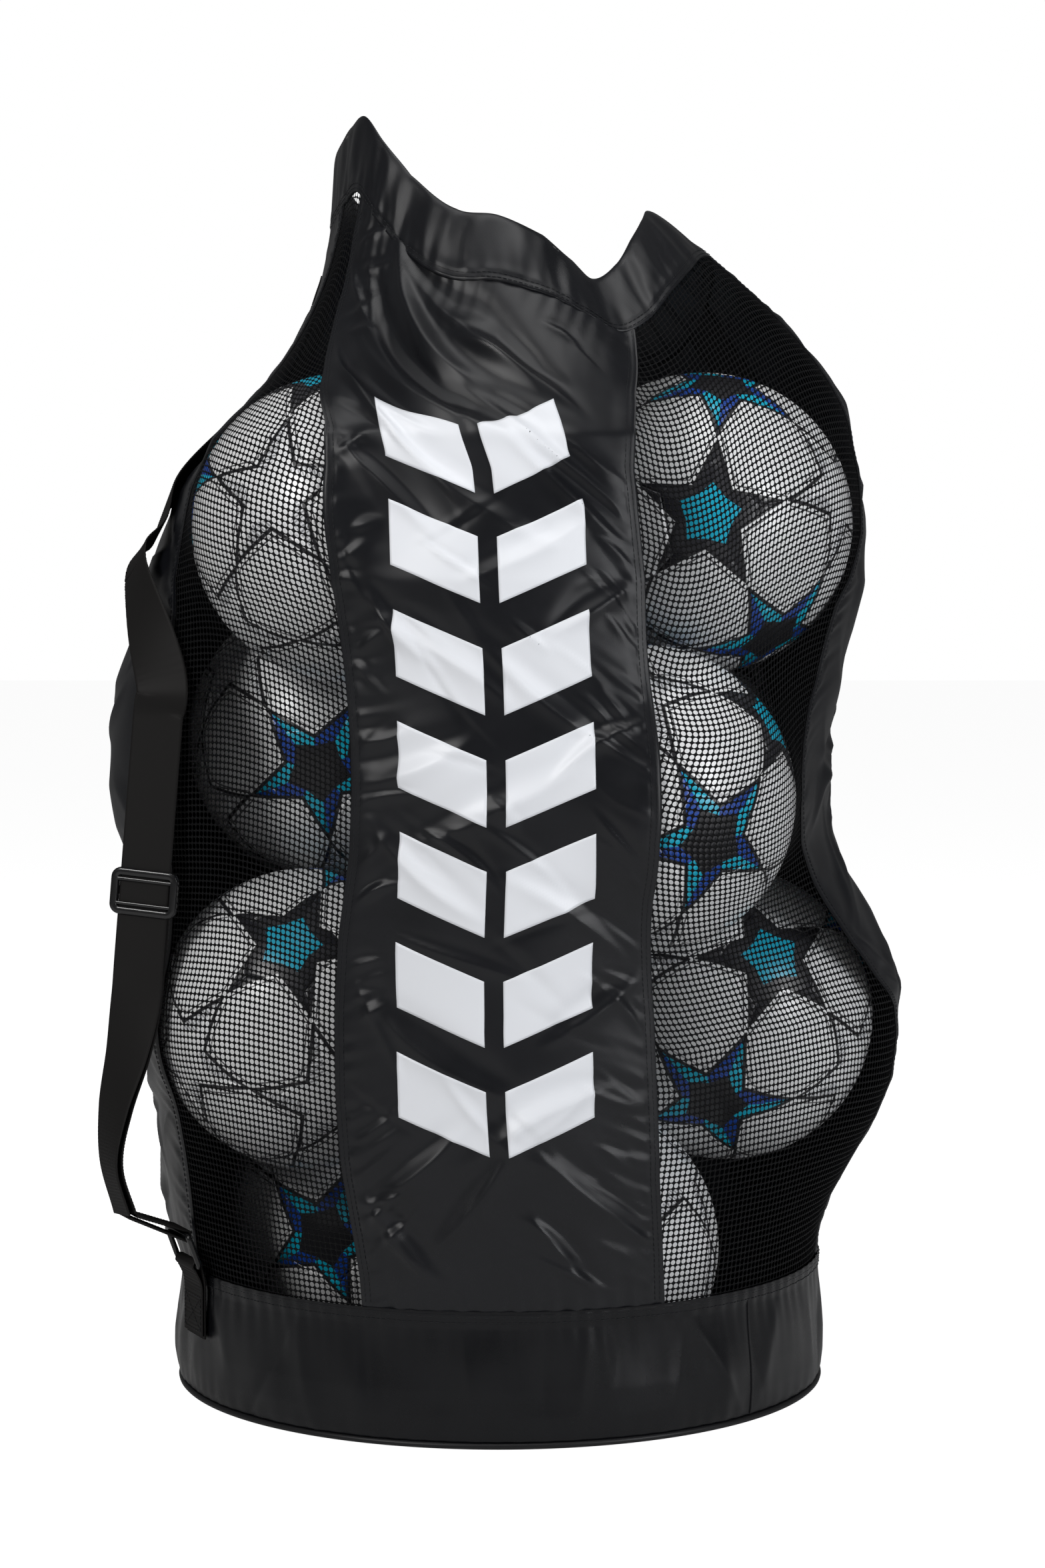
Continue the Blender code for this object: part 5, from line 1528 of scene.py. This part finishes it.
def adjuster():
    """Three-bar adjuster: a frame, a middle bar and two grip ribs."""
    frame = frame_of(GLIDE_AT, GLIDE_OUT, GLIDE_ACROSS)
    rings = swept_frame(rounded_path(0.0225, 0.0140, 0.0045), half_w=0.0029, half_h=0.0031)
    obj = loft("adjuster_frame", transform(frame, rings), GLOSS, closed=True)
    place(obj, "adjuster", "plastic", "strap_adjuster")
    # name, y, z, half depth, half thickness, sides
    for name, y, z, half_y, half_z, sides in (
            ("middle_bar", 0.0, -0.0028, 0.0032, 0.0008, 16),
            ("grip_low", -0.0088, 0.0021, 0.0012, 0.0006, 12),
            ("grip_high", 0.0088, 0.0021, 0.0012, 0.0006, 12)):
        bar = np.stack(np.broadcast_arrays(np.linspace(-0.0215, 0.0215, 24), y, z), -1)[:, None]
        rings = bar + (tube_rings(bar[:, 0], 1.0, sides) - bar) * (1, half_y, half_z)
        place(loft("adjuster_" + name, transform(frame, rings), GLOSS), "adjuster", "plastic")


def strap_ring():
    span = RING_TOP - RING_LOW
    path = rounded_path(WEB_W / 2 + 0.0008 + 0.0034, np.linalg.norm(span) / 2, 0.0032)
    wire = (RING_TOP + RING_LOW) / 2 + RING_ALONG * path[:, :1] + unit(span) * path[:, 1:]
    rings = tube_rings(wire, WIRE_R, 16, closed=True, ref=RING_OUT)
    obj = loft("strap_ring_wire", rings, GLOSS, closed=True)
    place(obj, "bag", "plastic", "strap_ring")


BAND_FACE_R = 0.2429
TAB_R = BAND_FACE_R + 0.0003 + WEB_T * 1.5 + 0.0008  # outer layer of the lower tab


def strap_tabs():
    """Lower tab through the ring, and upper tab sewn near the rim; gives the upper's lines."""
    path = [polar(BAND_FACE_R + 0.0015, RING_ANGLE, z) for z in (0.050, 0.056, 0.066, 0.080, 0.092)]
    path += around_wire(RING_LOW, range(200, -61, -13))
    path.append(polar(TAB_R + 0.0004, RING_ANGLE, 0.090))
    path += [polar(TAB_R, RING_ANGLE, z) for z in (0.076, 0.060, 0.052)]
    path = catmull(path, 4)
    obj, _ = webbing("strap_lower_tab_webbing", path, np.tile(RING_ALONG, (len(path), 1)),
                     width=WEB_W - 0.001, step=0.0009)
    place(obj, "bag", "webbing", "strap_lower_tab")

    upward = unit(STRAP[0] - STRAP[1])
    path = []
    for reach, off in ((0.024, 0.0036), (0.017, 0.0042), (0.010, 0.0052)):
        x, y, z = STRAP[0] + upward * reach
        path.append(lay(math.degrees(math.atan2(y, x)) % 360, z, off))
    path = catmull([*path, STRAP[0] + upward * 0.0003], 4)
    obj, lines = webbing("strap_upper_tab_webbing", path,
                         np.tile(STRAP_ACROSS[0], (len(path), 1)))
    place(obj, "bag", "webbing", "strap_upper_tab")
    return lines


def box_stitch(name, path, across, normal, run, start, end, half, off):
    """A crossed box of stitches on a sewn end."""
    k = np.linspace(0, 1, 60)
    corners = ((start, -half), (end, -half), (end, half), (start, half))
    lines = []
    for a, b in ((0, 1), (1, 2), (2, 3), (3, 0), (0, 2), (3, 1)):
        (x_a, y_a), (x_b, y_b) = corners[a], corners[b]
        x, y = x_a + (x_b - x_a) * k, y_a + (y_b - y_a) * k
        out = sample(x, run, normal)
        points = sample(x, run, path) + sample(x, run, across) * y[:, None] + out * off
        lines.append((points, out * (1 if off > 0 else -1)))
    stitch_object(name, lines)


def tab_stitches(path, across, normal, run):
    outward = 1.0 if np.dot(normal[0][:2], path[0][:2]) > 0 else -1.0
    box_stitch("upper_tab_stitches", path, across, normal, run, start=0.002,
               end=min(0.026, run[-1] - 0.002), half=0.0160, off=outward * 0.00095)
    z = np.linspace(0.054, 0.088, 40)
    box_stitch("lower_tab_stitches", polar(TAB_R, RING_ANGLE, z), np.tile(RING_ALONG, (40, 1)),
               np.tile(RING_OUT, (40, 1)), z - z[0], start=0.001, end=0.026, half=0.0155,
               off=0.00095)


strap_runs()
adjuster()
strap_ring()
tab_stitches(*strap_tabs())

# ---- drawcord, eyelets, cord lock
EYELET_D = 0.016  # below the rim
EYELET_ANGLE = 7.0  # to each side of the back
CORD_D = 0.0050  # depth of the cord inside the hem
CORD_R = 0.00135
CORD_SIDES = 10
TAIL_TOP = np.array((0.0, 0.2210, 0.8150))
TAIL_DIR = unit(np.array((0.0, 0.42, -1.0)))
TAIL_L = 0.125
LOCK_AT = TAIL_TOP + TAIL_DIR * 0.035
LOCK_FRAME = frame_of(LOCK_AT, (1, 0, 0), TAIL_DIR)


def eyelet_place(side):
    """Centre and normal of an eyelet on the hem's middle surface."""
    angle = 90 + side * EYELET_ANGLE
    return (skin(angle, below_rim(angle, EYELET_D)),
            skin_normal(angle, below_rim(angle, HEM_W / 2)))


def eyelets():
    profile = (
        (0.0028, -0.0010), (0.0033, -0.0010), (0.0036, 0.0002), (0.0058, 0.0001),
        (0.0061, 0.0006), (0.0058, 0.0012), (0.0050, 0.0017), (0.0040, 0.0019),
        (0.0032, 0.0016), (0.0028, 0.0009),
    )
    for side, name in ((-1, "right"), (1, "left")):
        point, normal = eyelet_place(side)
        frame = frame_of(point + normal * 0.0030, normal, (0, 0, 1))
        obj = lathe("eyelet_%s_ring" % name, profile, 40, frame, EYELET, sharp=60)
        place(obj, "bag", "eyelet", "eyelet_" + name)


def cord_half(side):
    """The cord from its end up the tail and in through one eyelet."""
    apart = np.array((-side * 0.0019, 0, 0))
    path = [TAIL_TOP + TAIL_DIR * TAIL_L * part + apart for part in (1, 0.66, 0.33, 0.0)]
    point, normal = eyelet_place(side)
    path += [point + normal * off for off in (0.0085, 0.0048, 0.0016)]
    for past, off in ((0.45, 0.0002), (1.4, 0.0)):
        angle = 90 + side * (EYELET_ANGLE + past)
        path.append(skin(angle, below_rim(angle, EYELET_D)) + normal * off)
    return path


def drawcord():
    inside = []
    count = 240
    start, end = 101.25, 438.75
    for i in range(count + 1):
        angle = start + (end - start) * i / count
        near_end = 1 - float(smooth(min(i, count - i) / 12.0))
        depth = CORD_D + (EYELET_D - CORD_D) * near_end * 0.85
        inside.append(skin(angle, below_rim(angle, depth)))
    path = catmull(cord_half(1) + inside + cord_half(-1)[::-1], 4)
    (path,), run = resample(path, 0.0022)
    rings = tube_rings(path, CORD_R, CORD_SIDES)
    braid = 1 + 0.07 * np.cos(run[:, None] / 0.0042 * TAU + np.arange(CORD_SIDES) * TAU / 5)
    rings = path[:, None] + (rings - path[:, None]) * braid[..., None]
    place(loft("drawcord_braid", rings, CORD), "bag", "cord", "drawcord")


def cut_slot(obj, size, frame):
    """Cut a slot with softened edges right through a piece."""
    bm = bmesh.new()
    bmesh.ops.create_cube(bm, size=1.0)
    bmesh.ops.scale(bm, vec=Vector(size), verts=bm.verts)
    bmesh.ops.bevel(bm, geom=bm.edges[:], offset=min(size) * 0.25, segments=3, affect="EDGES")
    bmesh.ops.transform(bm, matrix=frame, verts=bm.verts)
    mesh = bpy.data.meshes.new("tool")
    bm.to_mesh(mesh)
    bm.free()
    tool = add_object("tool", mesh)
    cut = obj.modifiers.new("cut", "BOOLEAN")
    cut.operation, cut.solver, cut.object = "DIFFERENCE", "EXACT", tool
    graph = bpy.context.evaluated_depsgraph_get()
    done = bpy.data.meshes.new_from_object(obj.evaluated_get(graph), depsgraph=graph)
    obj.modifiers.remove(cut)
    old = obj.data
    obj.data = done
    bpy.data.meshes.remove(old)
    bpy.data.objects.remove(tool)
    shade(done, 38)


def cord_lock():
    """Barrel, plunger and spring, lying along x across the two cords."""
    barrel = (
        (0, -0.0130), (0.0066, -0.0130), (0.0078, -0.0126), (0.0084, -0.0118),
        (0.0085, -0.0110), (0.0085, 0.0094), (0.0083, 0.0103), (0.0077, 0.0109),
        (0.0062, 0.0110), (0.0057, 0.0106), (0.0057, -0.0115), (0, -0.0115),
    )
    obj = lathe("cord_lock_body", barrel, 64, LOCK_FRAME, MATT)
    cut_slot(obj, (0.0080, 0.0040, 0.030), frame_of(LOCK_AT, TAIL_DIR, (1, 0, 0)))
    place(obj, "cord_lock", "plastic", "cord_lock_barrel")

    plunger = (
        (0, -0.0062), (0.0050, -0.0062), (0.0054, -0.0058), (0.0054, 0.0150), (0.0062, 0.0153),
        (0.0069, 0.0159), (0.0070, 0.0166), (0.0070, 0.0186), (0.0066, 0.0195),
        (0.0056, 0.0200), (0, 0.0199),
    )
    obj = lathe("cord_lock_plunger", plunger, 64, LOCK_FRAME, GLOSS)
    slot_at = LOCK_AT + np.array((0.0022, 0, 0))
    cut_slot(obj, (0.0130, 0.0040, 0.030), frame_of(slot_at, TAIL_DIR, (1, 0, 0)))
    place(obj, "lock_button", "plastic", "cord_lock_button")

    part = np.arange(161) / 160
    coil = transform(LOCK_FRAME, polar(0.0040, part * 360 * 3.5, -0.0110 + 0.0042 * part))
    obj = loft("cord_lock_coil", tube_rings(coil, 0.0003, 8), STEEL)
    place(obj, "cord_lock", "spring", "cord_lock_spring")


def cord_end():
    profile = (
        (0, 0.0), (0.0036, 0.0), (0.0043, 0.0004), (0.0050, 0.0018), (0.0053, 0.0040),
        (0.0053, 0.0104), (0.0049, 0.0126), (0.0040, 0.0145), (0.0028, 0.0153), (0, 0.0155),
    )
    frame = frame_of(TAIL_TOP + TAIL_DIR * (TAIL_L + 0.0003), TAIL_DIR, (1, 0, 0))
    place(lathe("cord_end_bell", profile, 40, frame, MATT), "bag", "plastic", "cord_end")


eyelets()
drawcord()
cord_lock()
cord_end()


# ---- stage
def stage_floor():
    floor = add_object("floor", bpy.data.meshes.new("floor"))
    bm = bmesh.new()
    bmesh.ops.create_grid(bm, x_segments=1, y_segments=1, size=14.0)
    bm.to_mesh(floor.data)
    bm.free()
    floor.location = (0, 0, -0.0002)
    material, nodes = new_material("pale_floor")
    # glows for the camera only
    seen = nodes.add("LightPath").outputs["Is Camera Ray"]
    nodes.set("Principled BSDF", {
        "Base Color": (0.80, 0.80, 0.80), "Roughness": 0.8, "Specular IOR Level": 0.1,
        "Emission Color": (1, 1, 1), "Emission Strength": nodes.math("MULTIPLY", seen, 0.86)})
    floor.data.materials.append(material)


def studio_world():
    """White for the camera, dim as a light."""
    world = bpy.data.worlds.new("studio")
    bpy.context.scene.world = world
    nodes = Nodes(world)
    seen = nodes.add("LightPath").outputs["Is Camera Ray"]
    strength = nodes.add("MapRange", {"Value": seen, "To Min": 0.13, "To Max": 1.0})
    nodes.set("Background", {0: (1.0, 1.0, 1.0), 1: strength.outputs[0]})
    bpy.context.scene.view_settings.view_transform = "Standard"


def area_light(name, at, look, size, power, colour=(1, 1, 1)):
    light = bpy.data.lights.new(name, "AREA")
    light.shape = "RECTANGLE"
    light.size, light.size_y = size
    light.energy = power
    light.color = colour
    obj = add_object(name, light)
    obj.location = at
    obj.rotation_euler = (Vector(look) - Vector(at)).to_track_quat("-Z", "Y").to_euler()


def add_camera():
    data = bpy.data.cameras.new("camera")
    data.sensor_fit = "VERTICAL"
    data.sensor_height = 36.0
    data.sensor_width = 24.0
    data.lens = 79.6
    camera = add_object("camera", data)
    camera.location = (0.017, -2.6, 0.62)
    camera.rotation_euler = (math.radians(90 - 3.85), 0, 0)
    bpy.context.scene.camera = camera


stage_floor()
studio_world()
area_light("key_left", at=(-1.6, -2.0, 1.9), look=(0, 0, 0.50), size=(0.55, 1.0), power=36,
           colour=(1.0, 0.99, 0.98))
area_light("fill_right", at=(1.9, -1.6, 1.1), look=(0, 0, 0.45), size=(0.40, 1.3), power=26,
           colour=(0.97, 0.98, 1.0))
area_light("top_soft", at=(0.1, -0.5, 2.4), look=(0, 0, 0.5), size=(1.2, 1.0), power=12)
add_camera()
